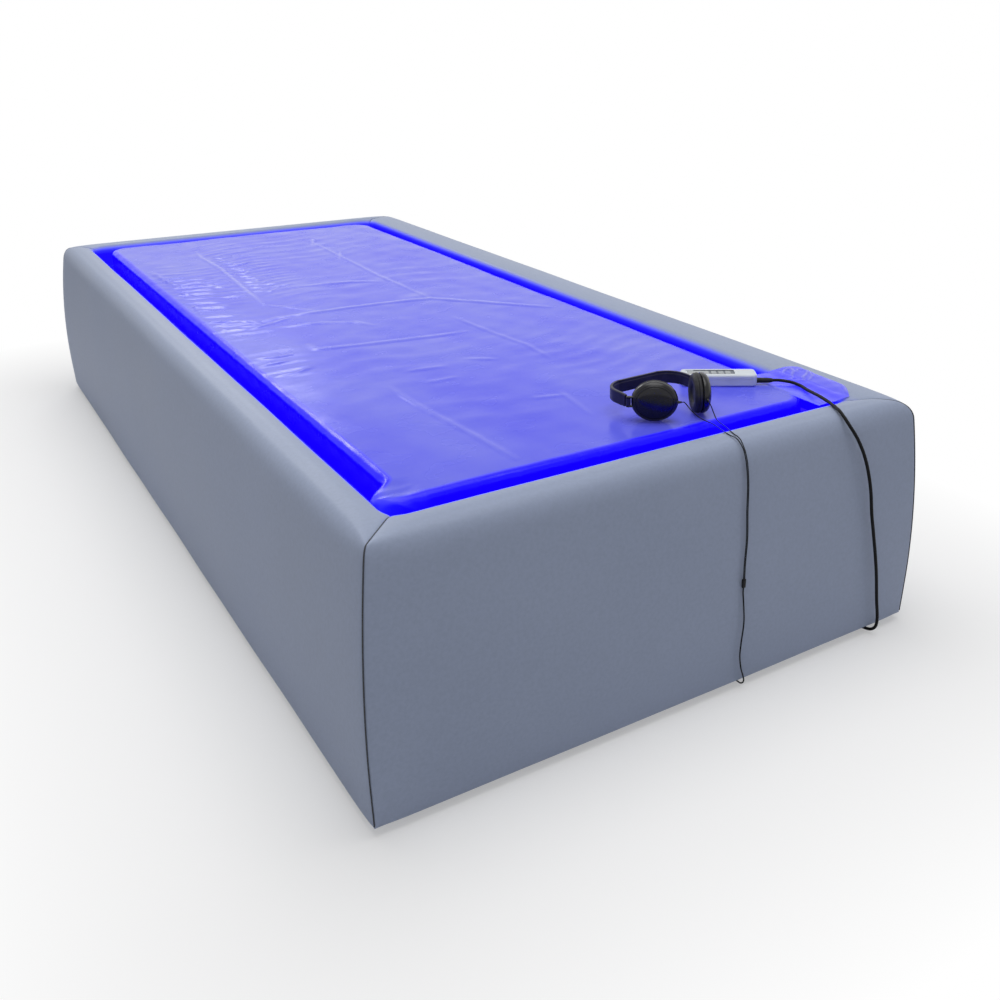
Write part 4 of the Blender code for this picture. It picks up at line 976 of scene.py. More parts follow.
def corner_fillet(distance):
    """Return how far the inner face comes in near a corner, to round the opening's plan corner."""
    if distance >= INNER_CORNER:
        return 0.0
    return INNER_CORNER - (distance + math.sqrt(2 * INNER_CORNER ** 2 - distance ** 2)) / 2


def rounded_inset(inset, distance):
    """Return an inset moved in by its share of the corner's rounding."""
    start, width = CORNER_REACH
    share = min(max((inset - start) / width, 0.0), 1.0) ** 1.3
    return inset + corner_fillet(distance) * share


def ripple(along, height, seed):
    """Return the slow unevenness of stretched leather over foam."""
    slow = math.sin(along * 7.3 + seed) * math.cos(height * 9.0 + seed * 1.7)
    quick = math.sin(along * 17.0 + height * 11.0 + seed * 2.3) * 0.45
    return 0.0006 * (slow + quick)


def drawn_section(side, crisp, draw):
    """Return a cover's outline with its visible points drawn in by a seam, and how many are visible."""
    outline, visible = cover_section(side, crisp)
    points = []
    for index, (inset, height) in enumerate(outline):
        if 0 < index < visible - 1:
            tangent = (outline[index + 1] - outline[index - 1]).normalized()
            inset += draw * tangent.y
            height -= draw * tangent.x
        points.append((inset, height))
    return points, visible


def wall_stations(run):
    """Return (end, distance from it, or place along if no end is near) for each ring of a wall."""
    reach = run - INNER_FACE - INNER_CORNER - STATIONS[-1]
    stations = [(-1, distance) for distance in STATIONS]
    stations += [(0, place) for place in np.linspace(-reach, reach, MIDDLE_STATIONS)]
    return stations + [(1, distance) for distance in reversed(STATIONS)]


def wall_cover(side, seed):
    """Return one mitred leather cover, drawn in along its seams."""
    run = half_run(side)
    stations = wall_stations(run)
    piece, numbers = ring_body(side + "_cover", len(cover_section(side, 0.0)[0]), len(stations))
    places = []
    painted_glows = []
    for end, value in stations:
        distance = value if end else run - abs(value) - INNER_FACE
        nearer = end if end else (1 if value > 0 else -1)
        crisp = CORNER_CRISP[side, nearer] * math.exp(-distance / CRISP_FADE)
        draw = sum(depth * math.exp(-distance / fade) for depth, fade in SEAM_PULL)
        place = end * (run - distance) if end else value
        calm = 1 - math.exp(-distance / CALM_FADE)
        points, visible = drawn_section(side, crisp, draw)
        across, _ = drawn_section(NEIGHBOURS[side][nearer], crisp, draw)
        for index, ((inset, height), (meeting, _)) in enumerate(zip(points, across)):
            seen = index < visible
            if seen:
                inset = rounded_inset(inset, distance)
                meeting = rounded_inset(meeting, distance)
                inset += COVER_CLEAR - ripple(place, height, seed) * calm
            along = end * (run - meeting - MITRE_GAP - distance) if end else value
            places.append(on_side(side, along, inset, height))
            # Painted blue LED glow on the inner face, growing below the rim top
            below = (RIM_TOP - CROWN - height) / PAINTED_GLOW_DEPTH
            painted_glows.append(eased(below) if seen and inset > PAINTED_GLOW_INSET else 0.0)
    move_points(piece, by_point(numbers, places, 3))
    paint(piece, "painted_glow", by_point(numbers, painted_glows, 1))
    return smooth(piece, 35.0)


def cut_recess(piece):
    """Cut the mains recess through the head cover."""
    low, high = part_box("power_inlet")
    inner = (low.x - RECESS_MARGIN, HALF_LENGTH - RECESS_REACH[0], low.z - RECESS_MARGIN)
    outer = (high.x + RECESS_MARGIN, HALF_LENGTH + RECESS_REACH[1], high.z + RECESS_MARGIN)
    cutter = soft_block("recess_cutter", inner, outer, 0.003, 3)
    work_on(piece)
    cut = piece.modifiers.new("recess", "BOOLEAN")
    cut.operation = "DIFFERENCE"
    cut.solver = "EXACT"
    cut.object = cutter
    bpy.ops.object.modifier_apply(modifier=cut.name)
    bpy.data.objects.remove(cutter, do_unlink=True)
    smooth(piece, 35.0, outward=False)


def make_seam(number, sign_x, sign_y):
    """Make the sewn seam in one corner, from the channel to the floor, with a near-black cord as painted
    shade in its groove.
    """
    long_wall = "right" if sign_x > 0 else "left"
    short_wall = "head" if sign_y > 0 else "foot"
    end = next(end for end, side in NEIGHBOURS[long_wall].items() if side == short_wall)
    crisp = CORNER_CRISP[long_wall, end]
    long_points, visible = drawn_section(long_wall, crisp, SEAM_DRAW)
    short_points, _ = drawn_section(short_wall, crisp, SEAM_DRAW)
    path = []
    for (inset_x, height), (inset_y, _) in list(zip(long_points, short_points))[1:visible - 4]:
        x = sign_x * (HALF_WIDTH - rounded_inset(inset_x, 0.0))
        y = sign_y * (HALF_LENGTH - rounded_inset(inset_y, 0.0))
        path.append(Vector((x, y, height)))
    path = smooth_route(path, 100)
    seam = swept_body("corner_seam_%d" % number, path, round_section(SEAM_RADIUS, 8))
    dress(seam, FINISH["seam"], "bed")


def make_covers():
    """Make the four leather covers and the four corner seams."""
    for number, side in enumerate(WALLS):
        piece = wall_cover(side, 1.3 + 2.1 * number)
        if side == "head":
            cut_recess(piece)
        dress(piece, FINISH["leather"], "bed", [side + "_padding"])
    corners = ((-1, -1), (1, -1), (1, 1), (-1, 1))
    for number, (sign_x, sign_y) in enumerate(corners, start=1):
        make_seam(number, sign_x, sign_y)


make_covers()

# Creases of the film as (height, width, points across and along the film)
CREASES = (
    (0.0016, 0.006, ((-0.195, 0.868), (-0.204, 0.778), (-0.198, 0.606), (-0.211, 0.375), (-0.221, 0.156))),
    (0.0010, 0.005, ((-0.221, 0.156), (-0.163, 0.073), (-0.130, 0.020))),
    (0.0012, 0.006, ((0.157, 0.867), (0.140, 0.820), (0.140, 0.580), (0.131, 0.284), (0.139, -0.008))),
    (0.0009, 0.006, ((0.108, -0.193), (0.120, -0.335), (0.136, -0.477), (0.128, -0.584))),
    (0.0008, 0.006, ((0.034, -0.774), (0.016, -0.909))),
    (0.0012, 0.006, ((-0.219, -0.580), (-0.215, -0.716), (-0.200, -0.874), (-0.192, -1.008))),
    (0.0016, 0.009, ((-0.094, 0.284), (-0.023, 0.279), (0.047, 0.265), (0.099, 0.227))),
    (0.0020, 0.009, ((-0.264, 0.008), (-0.236, 0.021), (-0.067, 0.019), (0.139, -0.008), (0.341, -0.236))),
    (0.0016, 0.009, (
        (-0.251, -0.233), (-0.246, -0.275), (-0.165, -0.290), (-0.007, -0.312), (0.077, -0.316),
    )),
    (0.0018, 0.007, ((-0.317, -0.049), (-0.257, -0.021), (-0.210, 0.004))),
    (0.0014, 0.008, ((-0.260, -0.064), (-0.167, -0.078), (-0.098, -0.115), (-0.077, -0.160))),
    (0.0016, 0.006, ((-0.370, -0.265), (-0.335, -0.281), (-0.297, -0.281))),
    (0.0014, 0.006, ((-0.376, -0.322), (-0.329, -0.321))),
    (0.0016, 0.006, ((-0.375, -0.403), (-0.332, -0.402), (-0.300, -0.388))),
    (0.0010, 0.008, ((-0.151, -0.509), (-0.077, -0.522))),
    (0.0010, 0.008, ((-0.147, -0.596), (-0.090, -0.594))),
    (0.0010, 0.008, ((-0.017, -0.498), (0.031, -0.529))),
    (0.0010, 0.008, ((-0.025, -0.777), (0.027, -0.793))),
    (0.0022, 0.007, ((-0.367, 0.658), (-0.358, 0.528), (-0.343, 0.418))),
    (0.0020, 0.006, ((-0.364, 0.369), (-0.345, 0.325))),
    (0.0022, 0.006, ((-0.365, 0.234), (-0.365, 0.177), (-0.339, 0.154))),
    (0.0020, 0.006, ((-0.372, 0.054), (-0.316, 0.033), (-0.280, -0.006))),
    (0.0018, 0.006, ((-0.337, -0.014), (-0.291, -0.021))),
    (0.0014, 0.005, ((-0.370, -0.001), (-0.363, -0.035))),
    (0.0012, 0.006, ((-0.049, 0.807), (0.000, 0.854))),
    (0.0012, 0.006, ((-0.170, 0.895), (-0.065, 0.919))),
    (0.0012, 0.005, ((0.157, 0.867), (0.122, 0.776))),
    (0.0012, 0.005, ((0.164, 0.655), (0.119, 0.544))),
    (0.0018, 0.006, ((-0.298, 0.472), (-0.257, 0.371))),
)

# Curls of the loose lap, in the same form
CURLS = (
    (0.0030, 0.0040, ((0.437, -0.934), (0.448, -0.922), (0.462, -0.914), (0.474, -0.916), (0.466, -0.932),
                      (0.450, -0.944), (0.444, -0.956))),
    (0.0030, 0.0040, ((0.467, -0.938), (0.480, -0.929), (0.490, -0.934), (0.488, -0.948), (0.472, -0.960),
                      (0.456, -0.968), (0.449, -0.980))),
    (0.0024, 0.0036, ((0.448, -0.955), (0.436, -0.955), (0.436, -0.965), (0.449, -0.978))),
    (0.0022, 0.0036, ((0.488, -0.953), (0.475, -0.973), (0.453, -0.987))),
    (0.0022, 0.0032, ((0.488, -1.020), (0.484, -1.043), (0.472, -1.061), (0.461, -1.075))),
)

# Patches of wrinkles as (centre, half size, pitch, height, tilt, seed)
FANS = (
    ((-0.130, 0.570), (0.070, 0.350), 0.036, 0.0022, 0.16, 0.4),
    ((-0.275, 0.440), (0.058, 0.220), 0.038, 0.0020, -0.14, 1.9),
    ((-0.338, 0.300), (0.036, 0.330), 0.046, 0.0036, -0.55, 3.3),
    ((-0.330, 0.000), (0.062, 0.120), 0.044, 0.0020, -0.22, 4.1),
    ((-0.330, -0.330), (0.060, 0.130), 0.052, 0.0014, -0.12, 5.2),
    ((0.020, 0.780), (0.220, 0.200), 0.056, 0.0012, 0.20, 6.0),
    ((0.080, 0.120), (0.260, 0.300), 0.085, 0.0010, 0.10, 0.9),
    ((-0.100, -0.560), (0.260, 0.330), 0.095, 0.0010, 0.05, 2.6),
    ((0.250, -0.700), (0.130, 0.300), 0.060, 0.0012, 0.25, 3.9),
)


def fine_folds():
    """Return the short folds that fan out from the long fold on the left, and some at the left edge."""
    folds = []
    for number in range(14):
        x = -0.199 - 0.0010 * number
        y = 0.790 - 0.037 * number
        turn_y = y - 0.026 + 0.008 * math.sin(number * 2.3)
        stop_x = x + 0.085 + 0.032 * math.sin(number * 1.7)
        stop_y = y - 0.044 + 0.050 * math.sin(number * 1.1) ** 2
        folds.append((0.0013, 0.0052, ((x, y), (x + 0.045, turn_y), (stop_x, stop_y))))
    for number in range(6):
        y = 0.520 - 0.045 * number
        stop_x = -0.235 + 0.020 * math.sin(number * 2.0)
        folds.append((0.0012, 0.0052, ((-0.318, y), (-0.280, y - 0.018), (stop_x, y - 0.030))))
    return tuple(folds)


FOLDS = CREASES + fine_folds()


# Film


def sheet_axis(shares, core, edge_steps, core_steps):
    """Return developed distances for grid shares from -1 to 1, with closer steps past the core."""
    total = 2 * edge_steps + core_steps
    knots = np.array([0, edge_steps, edge_steps + core_steps, total]) / total * 2 - 1
    return np.interp(shares, knots, [-core - SHEET_END, -core, core, core + SHEET_END])


def profile_of(reach):
    """Return (out, height, normal out, normal up) of the film's profile at a reach past its core."""
    turn = np.clip((reach - FLAT_REACH) / FILM_ROUND, 0.0, math.pi / 2)
    down = np.clip(reach - ARC_END, 0.0, SKIRT_END - ARC_END)
    foot = np.clip((reach - SKIRT_END) / FILM_FOOT, 0.0, math.pi / 2)
    flange = np.clip(reach - FOOT_END, 0.0, None)
    out = np.minimum(reach, FLAT_REACH) + FILM_ROUND * np.sin(turn) + FILM_FOOT * (1 - np.cos(foot)) + flange
    height = FILM_TOP - FILM_ROUND * (1 - np.cos(turn)) - down - FILM_FOOT * np.sin(foot)
    return out, height, np.sin(turn) * np.cos(foot), np.maximum(np.cos(turn), np.sin(foot))


def crease_lift(across, along, height, width, points):
    """Return the lift of one crease: a narrow ridge with a shallow trough on each side."""
    lengths = [math.dist(a, b) for a, b in zip(points, points[1:])]
    total = sum(lengths)
    gone = 0.0
    nearest = np.full(across.shape, 1.0)
    share = np.zeros_like(across)
    for start, stop, length in zip(points, points[1:], lengths):
        way_x = (stop[0] - start[0]) / length
        way_y = (stop[1] - start[1]) / length
        run = (across - start[0]) * way_x + (along - start[1]) * way_y
        held = np.clip(run, 0.0, length)
        gap = np.hypot(across - start[0] - held * way_x, along - start[1] - held * way_y)
        closer = gap < nearest
        nearest = np.where(closer, gap, nearest)
        share = np.where(closer, (gone + held) / total, share)
        gone += length
    fade = np.clip(np.minimum(share, 1 - share) * 6.0, 0.0, 1.0)
    scaled = nearest / width
    return height * (0.35 + 0.65 * fade) * (np.exp(-scaled ** 2) - 0.35 * np.exp(-(scaled / 2.2) ** 2))


def ridges(across, along, folds):
    """Return the lift of folds without their troughs."""
    return sum(np.maximum(crease_lift(across, along, *fold), 0.0) for fold in folds)


def wrinkle_fan(across, along, centre, size, pitch, height, tilt, seed):
    """Return a patch of near parallel wrinkles that run across the film and fade at the patch's edge."""
    u = (across - centre[0]) / size[0]
    v = (along - centre[1]) / size[1]
    mask = np.exp(-(np.abs(u) ** 3) - np.abs(v) ** 3)
    sway = 0.30 * np.sin(across * 21.0 + seed) + 0.22 * np.sin(along * 13.0 + seed * 2.0)
    phase = (along - tilt * (across - centre[0])) / pitch + sway
    ridge = np.abs(np.sin(math.pi * phase)) ** 3
    uneven = 0.45 + 0.55 * np.sin(along * 37.0 + across * 9.0 + seed * 3.1) ** 2
    return height * mask * ridge * uneven


def film_lift(across, along):
    """Return how far the film stands off its even form; it lies flat under the headphones."""
    lift = 0.0007 * np.sin(across * 11.0 + 0.7) * np.sin(along * 7.0 + 1.1)
    lift += 0.0005 * np.sin(across * 23.0 + along * 9.0) * np.cos(along * 17.0 - across * 5.0)
    lift += 0.0003 * np.sin(across * 61.0 - along * 23.0 + 2.0) * np.sin(along * 53.0 + across * 19.0)
    for fold in FOLDS:
        lift += CREASE_GAIN * crease_lift(across, along, *fold)
    for fan in FANS:
        lift += wrinkle_fan(across, along, *fan)
    u = (across - PRESSED_MIDDLE[0]) / PRESSED_SIZE[0]
    v = (along - PRESSED_MIDDLE[1]) / PRESSED_SIZE[1]
    pressed = np.exp(-u ** 4 - v ** 4)
    return np.maximum(lift, -DEEPEST_SAG) * (1 - pressed) - PRESSED_DEPTH * pressed


def film_fold_highlight(across, along):
    """Return how far the film is painted paler on its folds, as a highlight, less near the foot and the left
    edge.
    """
    pale = 0.48 * np.clip(ridges(across, along, FOLDS) / 0.0013, 0.0, 1.0) ** 1.3
    for fan in FANS:
        pale += 0.25 * np.clip(wrinkle_fan(across, along, *fan) / 0.003, 0.0, 1.0)
    far = np.clip((along + 1.1) / 1.3, 0.45, 1.0)
    inner = np.clip((across + 0.32) / 0.06, 0.15, 1.0)
    return np.clip(pale, 0.0, 0.6) * far * inner


def corner_slack(across, along, reach):
    """Return the share by which slack film spreads over the channel in the left foot corner."""
    free = 1 - climb(reach, SKIRT_END - 0.004, 0.020)
    spread = climb(np.abs(across), CORE_X + 0.006, 0.042) * free
    left = np.exp(-((along + CORE_Y + 0.028) / 0.040) ** 4) * (across < 0)
    return left * spread


def make_film():
    """Lay the film as one sheet: wrinkled top, tucked skirt and clamped flange."""
    piece, share_x, share_y = flat_grid(
        "film_sheet", 2 * FILM_COLUMNS[0] + FILM_COLUMNS[1], 2 * FILM_ROWS[0] + FILM_ROWS[1]
    )
    across = sheet_axis(share_x, CORE_X, *FILM_COLUMNS)
    along = sheet_axis(share_y, CORE_Y, *FILM_ROWS)
    past_x = np.maximum(np.abs(across) - CORE_X, 0.0)
    past_y = np.maximum(np.abs(along) - CORE_Y, 0.0)
    reach = np.maximum(past_x, past_y)
    lesser = np.minimum(past_x, past_y) / np.maximum(reach, 1e-9)
    turn = np.where(past_x >= past_y, lesser * math.pi / 4, math.pi / 2 - lesser * math.pi / 4)
    out, height, lean_out, lean_up = profile_of(reach)
    skirt = np.clip((reach - FLAT_REACH) / 0.02, 0.0, 1.0)
    skirt *= np.clip((SHEET_END - reach) / 0.03, 0.0, 1.0)
    pleats = np.sin((across * np.sign(along) + along) * 120.0) * np.sin((across - along) * 43.0)
    slack = corner_slack(across, along, reach)
    bunch = np.sin(across * 190.0 + along * 70.0) * np.sin(along * 120.0 - across * 40.0)
    lift = film_lift(across, along) * (1 - 0.6 * skirt)
    lift = lift + PLEAT_HEIGHT * pleats * skirt + SLACK_HEIGHT * bunch * slack
    gather = GATHER_HEIGHT * np.sin(turn * 26.0) * skirt * np.clip(lesser * 3.0, 0.0, 1.0)
    out = out + (lift + gather) * lean_out
    height = height + lift * lean_up - SLACK_DROP * slack
    way_x = np.where(reach > 0, np.cos(turn), 0.0)
    way_y = np.where(reach > 0, np.sin(turn), 0.0)
    x = np.sign(across) * (np.minimum(np.abs(across), CORE_X) + way_x * out) - SLACK_SPREAD * slack
    y = np.sign(along) * (np.minimum(np.abs(along), CORE_Y) + way_y * out)
    move_points(piece, np.stack((x, y, height), axis=1))
    # Painted blue LED glow on the skirt and the flange, less where slack film spreads over the channel
    painted_glow = climb(reach, FLAT_REACH - 0.007, 0.011) * (1 - 0.70 * np.clip(slack, 0.0, 1.0))
    paint(piece, "painted_glow", painted_glow)
    # Painted highlight on the folds of the top, fading out on the skirt
    paint(piece, "pale", film_fold_highlight(across, along) * (1 - skirt))
    smooth(piece, 80.0, outward=False)
    dress(piece, FINISH["film"], "bed", ["film"])


def make_lap():
    """Lay the loose film hem that spills over the channel and the rim beside the handset."""
    piece, share_x, share_y = flat_grid("film_lap", *LAP_STEPS)
    across = (share_x + 1) / 2
    edge_y, edge_x = zip(*LAP_EDGE)
    y = between((edge_y[0], edge_y[-1]), (share_y + 1) / 2)
    x = LAP_START + (np.interp(y, edge_y, edge_x) - LAP_START) * across
    over = climb(x, *LAP_CLIMB)
    rise = FILM_TOP + LAP_LIFT * climb(across, 0.0, 0.06) + LAP_RIM_LIFT * over
    rim = bpy.data.objects["right_cover"]
    for index in range(len(rise)):
        struck, spot, _, _ = rim.ray_cast((x[index], y[index], 1.0), (0.0, 0.0, -1.0))
        if struck and spot.z > 0.40:
            rise[index] = max(rise[index], spot.z + LAP_CLEAR)
    bunch = np.sin(x * 150.0 + y * 66.0) * np.sin(y * 112.0 - x * 71.0 + 1.0)
    rise += LAP_BUNCH[1] * over * (1 + bunch)
    rise += LAP_BUNCH[0] * bunch * (1 - over) * climb(across, 0.0, 0.1)
    folds = ridges(x, y, CURLS)
    move_points(piece, np.stack((x, y, rise + folds), axis=1))
    channel = climb(x, *LAP_CHANNEL[0]) * (1 - climb(x, *LAP_CHANNEL[1]))
    # Painted blue LED glow where the lap lies over the channel and the rim, less on its curls
    lit = 0.12 * climb(x, 0.385, 0.02) + 0.16 * climb(x, 0.42, 0.03) + 0.22 * channel
    curled = np.clip(folds / 0.002, 0.0, 1.0)
    paint(piece, "painted_glow", lit * (1 - 0.6 * curled))
    # Paler all over and more on the curls: partly the doubled loose film, partly painted highlight
    paint(piece, "pale", 0.10 + 0.26 * curled)
    smooth(piece, 80.0, outward=False)
    dress(piece, FINISH["loose_film"], "bed")


make_film()
make_lap()

# Light bars, foam pad and air bladders


def make_lights():
    """Make the frosted diffuser bars, with a raised lens on a flat base."""
    for side in WALLS:
        node = side + "_light_bar"
        piece = soft_block(side + "_diffuser", *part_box(node), 0.004)
        steps = ({"thickness": 0.002, "depth": 0.0}, {"thickness": 0.0008, "depth": -0.0006})
        edit_mesh(piece, bpy.ops.mesh.inset, *steps, test=faces_up, kind="FACE")
        smooth(piece)
        dress(piece, FINISH["light"], "bed", [node])


def make_foam_pad():
    """Make the foam pad on the platform, crowned and rounded."""
    low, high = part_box("platform_pad")
    piece = block("foam_pad", (-high.x, -high.y, low.z), (high.x, high.y, high.z - FOAM_SUNK))
    upright = bevel_options(FOAM_CORNER, 8)
    level = bevel_options(FOAM_EDGE, 4)
    edit_mesh(piece, bpy.ops.mesh.bevel, upright, test=lambda edge: edge_rise(piece, edge) >= 0.00001)
    edit_mesh(piece, bpy.ops.mesh.bevel, level, test=lambda edge: edge_rise(piece, edge) < 0.00001)
    edit_mesh(piece, bpy.ops.mesh.inset, FOAM_CROWN, test=faces_up, kind="FACE")
    smooth(piece, 50.0)
    dress(piece, FINISH["foam"], "lift", ["platform_pad"])


def make_bladders():
    """Make the two air bladders, quilted by welded bars."""
    for side in ("left", "right"):
        node = side + "_air_cell"
        low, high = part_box(node)
        piece = soft_block(side + "_bladder", low, high, BLADDER_ROUND, 6)
        edit_mesh(piece, bpy.ops.mesh.subdivide, {"number_cuts": 6})
        middle = (low + high) / 2
        half = (high - low) / 2
        for point in piece.data.vertices:
            u = (point.co.x - middle.x) / half.x
            v = (point.co.y - middle.y) / half.y
            w = (point.co.z - middle.z) / half.z
            rib = 0.5 + 0.5 * math.cos(v * math.pi * WELDS)
            weld = rib ** 6 * (1 - u ** 6)
            point.co.z -= math.copysign(WELD_DEPTH * weld * (abs(w) > 0.6), w)
            point.co.x -= math.copysign(RIB_DEPTH * rib ** 4 * (abs(u) > 0.8), u)
        smooth(piece, 60.0)
        dress(piece, FINISH["bladder"], "bed", [node])
        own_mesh(piece)


make_lights()
make_foam_pad()
make_bladders()

# Headphones, with profiles as (radius, height)
CUP_RIM = CUP_HEIGHT / 2
CUP_PROFILE = (
    (0.0002, 0.0155), (0.006, 0.0154), (0.012, 0.0150), (0.018, 0.0142), (0.023, 0.0130),
    (0.0262, 0.0118), (0.0272, 0.0110), (0.0276, 0.0104), (0.0280, 0.0104), (0.0284, 0.0109),
    (0.0294, 0.0104), (0.0302, 0.0096), (0.0306, 0.0090), (0.0310, 0.0092), (0.0328, 0.0074),
    (0.0341, 0.0054), (CUP_RIM - 0.0002, 0.0030), (CUP_RIM, 0.0010), (CUP_RIM, -0.0005),
    (CUP_RIM - 0.0004, -0.0013), (CUP_RIM - 0.0015, -0.0020), (0.0150, -0.0020), (0.0002, -0.0020),
)
CUSHION_ROLLS = (
    (0.0060, -0.0023), (0.0028, -0.0025), (0.0010, -0.0040), (0.0003, -0.0062), (0.0009, -0.0082),
    (0.0020, -0.0090), (0.0010, -0.0098), (0.0014, -0.0118), (0.0034, -0.0142), (0.0064, -0.0158),
    (0.0098, -0.0163), (0.0135, -0.0158), (0.0172, -0.0144), (0.0196, -0.0126), (0.0204, -0.0116),
)
GLAND_PROFILE = (
    (0.0002, -0.0040), (0.0027, -0.0040), (0.0027, 0.0006), (0.0022, 0.0012), (0.0024, 0.0022),
    (0.0019, 0.0030), (0.0020, 0.0042), (0.0014, GLAND_LENGTH), (0.0002, GLAND_LENGTH),
)


def cushion_profile():
    """Return the cushion's profile: two sewn rolls, given inward from the rim, round a dished cloth."""
    rolls = [(CUP_RIM - inward, height) for inward, height in CUSHION_ROLLS]
    return [(0.0002, -0.0023)] + rolls + [(0.0100, -0.0113), (0.0002, -0.0112)]


def make_shell(side, to_cup, lay):
    """Make one ear cup's shell with its cable gland and its two hinge lugs."""
    shell = turned_body(side + "_cup_shell", CUP_PROFILE, CUP_SIDES, lay, 30.0)
    gland_place = to_cup @ Matrix.Translation((CUP_START + CUP_LENGTH, 0.0, 0.0))
    gland_turn = gland_place @ Matrix.Rotation(math.pi / 2, 4, "Y")
    parts = [turned_body(side + "_cup_gland", GLAND_PROFILE, 20, gland_turn)]
    for number, low in enumerate(LUG_LEVELS):
        lug = soft_block(
            "%s_lug_%d" % (side, number), (-LUG_HALF, -LUG_HALF, low),
            (CUP_START + 0.014, LUG_HALF, low + LUG_THICK), 0.0009, 3,
        )
        lug.data.transform(to_cup)
        parts.append(smooth(lug))
    work_on(shell)
    for part in parts:
        part.select_set(True)
    bpy.ops.object.join()
    dress(shell, FINISH["gloss"], side + "_cup", [side + "_ear_cup"])


def make_ear(side, sign):
    """Make one ear cup and one cushion on its folding body."""
    to_cup = cup_matrix(sign)
    centre = Matrix.Translation((CUP_START + CUP_LENGTH / 2, -CUP_OFFSET, 0.0))
    stretch = Matrix.Scale(CUP_LENGTH / CUP_HEIGHT, 4, (1.0, 0.0, 0.0))
    lay = to_cup @ centre @ stretch @ Matrix.Rotation(-math.pi / 2, 4, "X")
    make_shell(side, to_cup, lay)
    cushion = turned_body(side + "_cup_cushion", cushion_profile(), CUP_SIDES, lay, 60.0)
    for point in cushion.data.vertices:
        local = lay.inverted() @ point.co
        turn = math.atan2(local.y, local.x)
        pucker = 0.0002 * math.sin(turn * 22.0) * min(1.0, math.hypot(local.x, local.y) / 0.03)
        point.co += (point.co - lay.translation).normalized() * pucker
    dress(cushion, FINISH["cushion"], side + "_cup", [side + "_ear_cushion"])


def band_path():
    """Return points along the headband, from its left end over the arch to its right end."""
    half = PHONES_HALF_WIDTH
    start = KNUCKLE_RADIUS + 0.002
    plan = [(-half, start), (-half, start + (BAND_DEPTH - BAND_CORNER - start) / 2)]
    plan += arc((BAND_CORNER - half, BAND_DEPTH - BAND_CORNER), BAND_CORNER, 180.0, 90.0, 16)
    plan += [(-across, along) for across, along in reversed(plan)]
    to_bed = phones_matrix()
    return [to_bed @ Vector((across, along, 0.0)) for across, along in plan]


def band_section(share):
    """Return the headband's section: rounded edges, a shallow channel outside and a pad inside."""
    half = BAND_HEIGHT / 2
    thick = BAND_THICK / 2
    sunk = thick - BAND_GROOVE
    near_end = min(share, 1 - share)
    pad = BAND_PAD * min(max((near_end - 0.22) / 0.06, 0.0), 1.0)
    slim = 1.0 - 0.10 * math.exp(-near_end / 0.02)
    upper = [
        (thick, 0.55), (sunk, 0.62), (sunk, 0.80), (thick * 0.7, 1.0), (-thick * 0.6, 1.0),
        (-thick, 0.86), (-thick - pad, 0.5),
    ]
    lower = [(across, -height) for across, height in reversed(upper)]
    outline = upper + [(-thick - pad * 1.4, 0.0)] + lower + [(thick, 0.0)]
    return [(across, height * half * slim) for across, height in outline]


def make_headband():
    """Make the headband over its arms."""
    path = smooth_route(band_path(), 96)
    piece = swept_body("band_arch", path, band_section, 35.0, (0.0, 0.0, 1.0))
    dress(piece, FINISH["satin"], "headband", ["headband"])


make_ear("left", -1)
make_ear("right", 1)
make_headband()

# Finishes of the frame's own nodes
NODE_FINISH = {
    "plywood": [
        *(wall + "_board" for wall in WALLS), "base_board", "deck", "rib_1", "rib_2", "rib_3",
        "left_tub_rail", "right_tub_rail",
    ],
    "insulation": ["insulation"],
    "heater": ["heater_mat"],
    "tub": ["water_tub"],
    "board": ["lift_platform"],
    "rubber": [
        *("floor_glide_%d" % number for number in range(1, 7)),
        "left_air_pipe", "right_air_pipe", "main_switch",
    ],
    "case": ["air_pump", "control_box"],
    "white": ["handset_back", "handset_front"],
    "key": ["handset_key_1", "handset_key_2", "handset_key_3"],
    "window": ["handset_window"],
    "black": ["handset_boot", "handset_plug", "headphone_jack", "y_split", "power_inlet"],
    "satin": ["left_arm", "right_arm"],
}
for finish, nodes in NODE_FINISH.items():
    for node in nodes:
        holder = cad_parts[node]
        holder.data.materials.clear()
        holder.data.materials.append(FINISH[finish])


# Floor, light and world


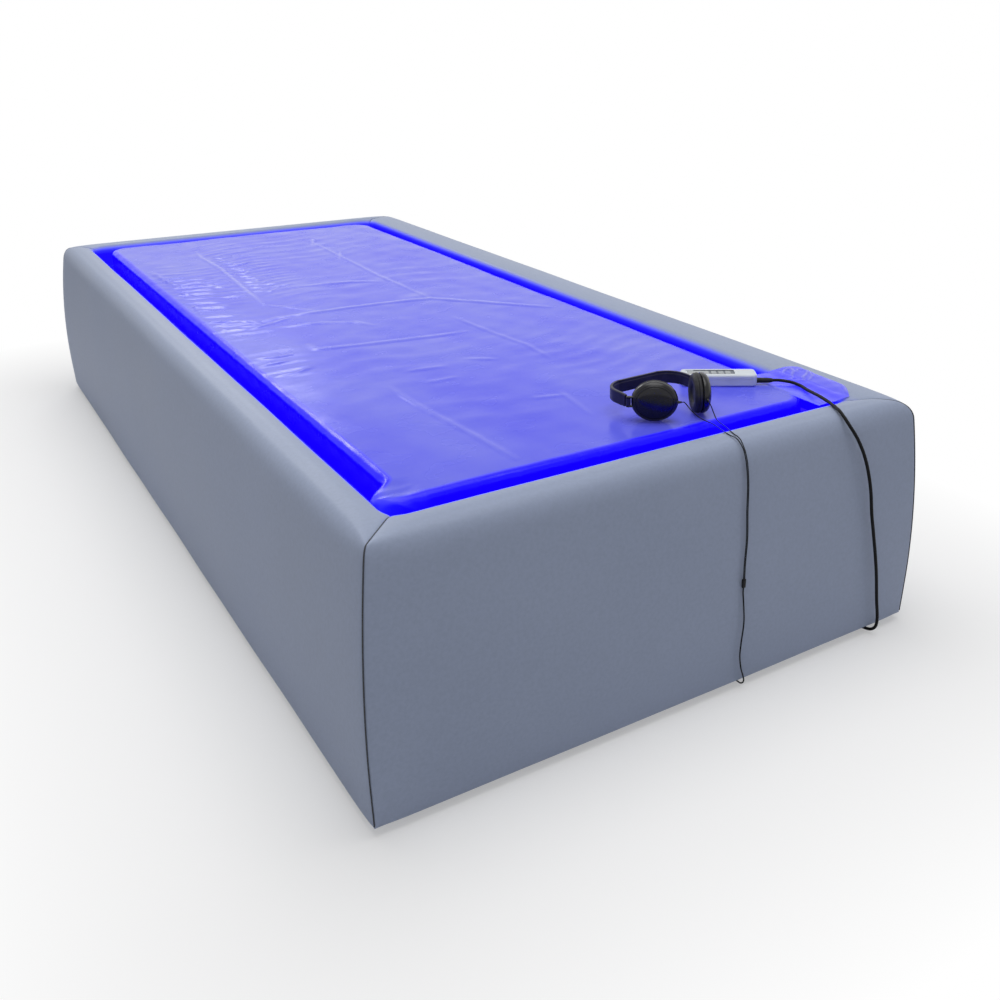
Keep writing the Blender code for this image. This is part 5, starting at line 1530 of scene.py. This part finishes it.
def make_floor():
    """Lay a pale floor that keeps the shadow and fades to white away from the bed."""
    deselect_all()
    bpy.ops.mesh.primitive_plane_add(size=60.0, location=(0.0, 0.0, 0.0))
    floor = take("studio_floor")
    material, tree, shader, place = start_material("pale_floor")
    patches = cloud(tree, place, 1.5)
    fill(tree, shader, {
        "Base Color": ramp(tree, patches, ((0.3, (0.88, 0.88, 0.88)), (0.7, (0.90, 0.90, 0.90)))),
        "Roughness": 0.9, "Specular IOR Level": 0.1,
    })
    source = place
    half_bed = (HALF_WIDTH, HALF_LENGTH, 0.0)
    for operation, amount in (("ABSOLUTE", BLACK), ("SUBTRACT", half_bed), ("MAXIMUM", BLACK)):
        source = add_node(tree, "VectorMath", {0: source, 1: amount}, operation=operation).outputs["Vector"]
    distance = add_node(tree, "VectorMath", {0: source}, operation="LENGTH").outputs["Value"]
    far = span(tree, distance, 0.35, 1.0, 0.0, 0.60)
    from_camera = add_node(tree, "LightPath", {}).outputs["Is Camera Ray"]
    white = add_node(tree, "Emission", {"Color": WHITE}).outputs["Emission"]
    blend = {"Fac": reckon(tree, "MULTIPLY", far, from_camera), 1: shader.outputs["BSDF"], 2: white}
    surface = add_node(tree, "MixShader", blend).outputs["Shader"]
    fill(tree, tree.nodes["Material Output"], {"Surface": surface})
    floor.data.materials.append(material)


def make_world(level):
    """Set a white background over an even studio light."""
    world = bpy.data.worlds.new("studio")
    bpy.context.scene.world = world
    world.use_nodes = True
    tree = world.node_tree
    tree.nodes.clear()
    rays = add_node(tree, "LightPath", {}).outputs
    seen = rays["Is Camera Ray"]
    for name in ("Is Glossy Ray", "Is Transmission Ray"):
        seen = reckon(tree, "MAXIMUM", seen, rays[name])
    light = add_node(tree, "Background", {"Color": (level, level, level * 1.02)}).outputs["Background"]
    white = add_node(tree, "Background", {"Color": WHITE}).outputs["Background"]
    surface = add_node(tree, "MixShader", {"Fac": seen, 1: light, 2: white}).outputs["Shader"]
    add_node(tree, "OutputWorld", {"Surface": surface})


def add_softbox(name, place, target, size, power):
    """Add a rectangular lamp that faces a point."""
    deselect_all()
    bpy.ops.object.light_add(type="AREA", location=place)
    lamp = take(name)
    lamp.data.shape = "RECTANGLE"
    lamp.data.size, lamp.data.size_y = size
    lamp.data.energy = power
    way = Vector(target) - Vector(place)
    lamp.rotation_mode = "QUATERNION"
    lamp.rotation_quaternion = way.to_track_quat("-Z", "Y")


make_floor()
make_world(0.32)
add_softbox("overhead_softbox", (0.10, -0.6, 3.5), (0.0, 0.0, 0.4), (2.4, 3.0), 64.0)
add_softbox("far_softbox", (0.10, 2.6, 2.05), (-0.2, 0.2, 0.44), (1.1, 0.5), 13.0)
bpy.context.scene.view_settings.view_transform = "Standard"
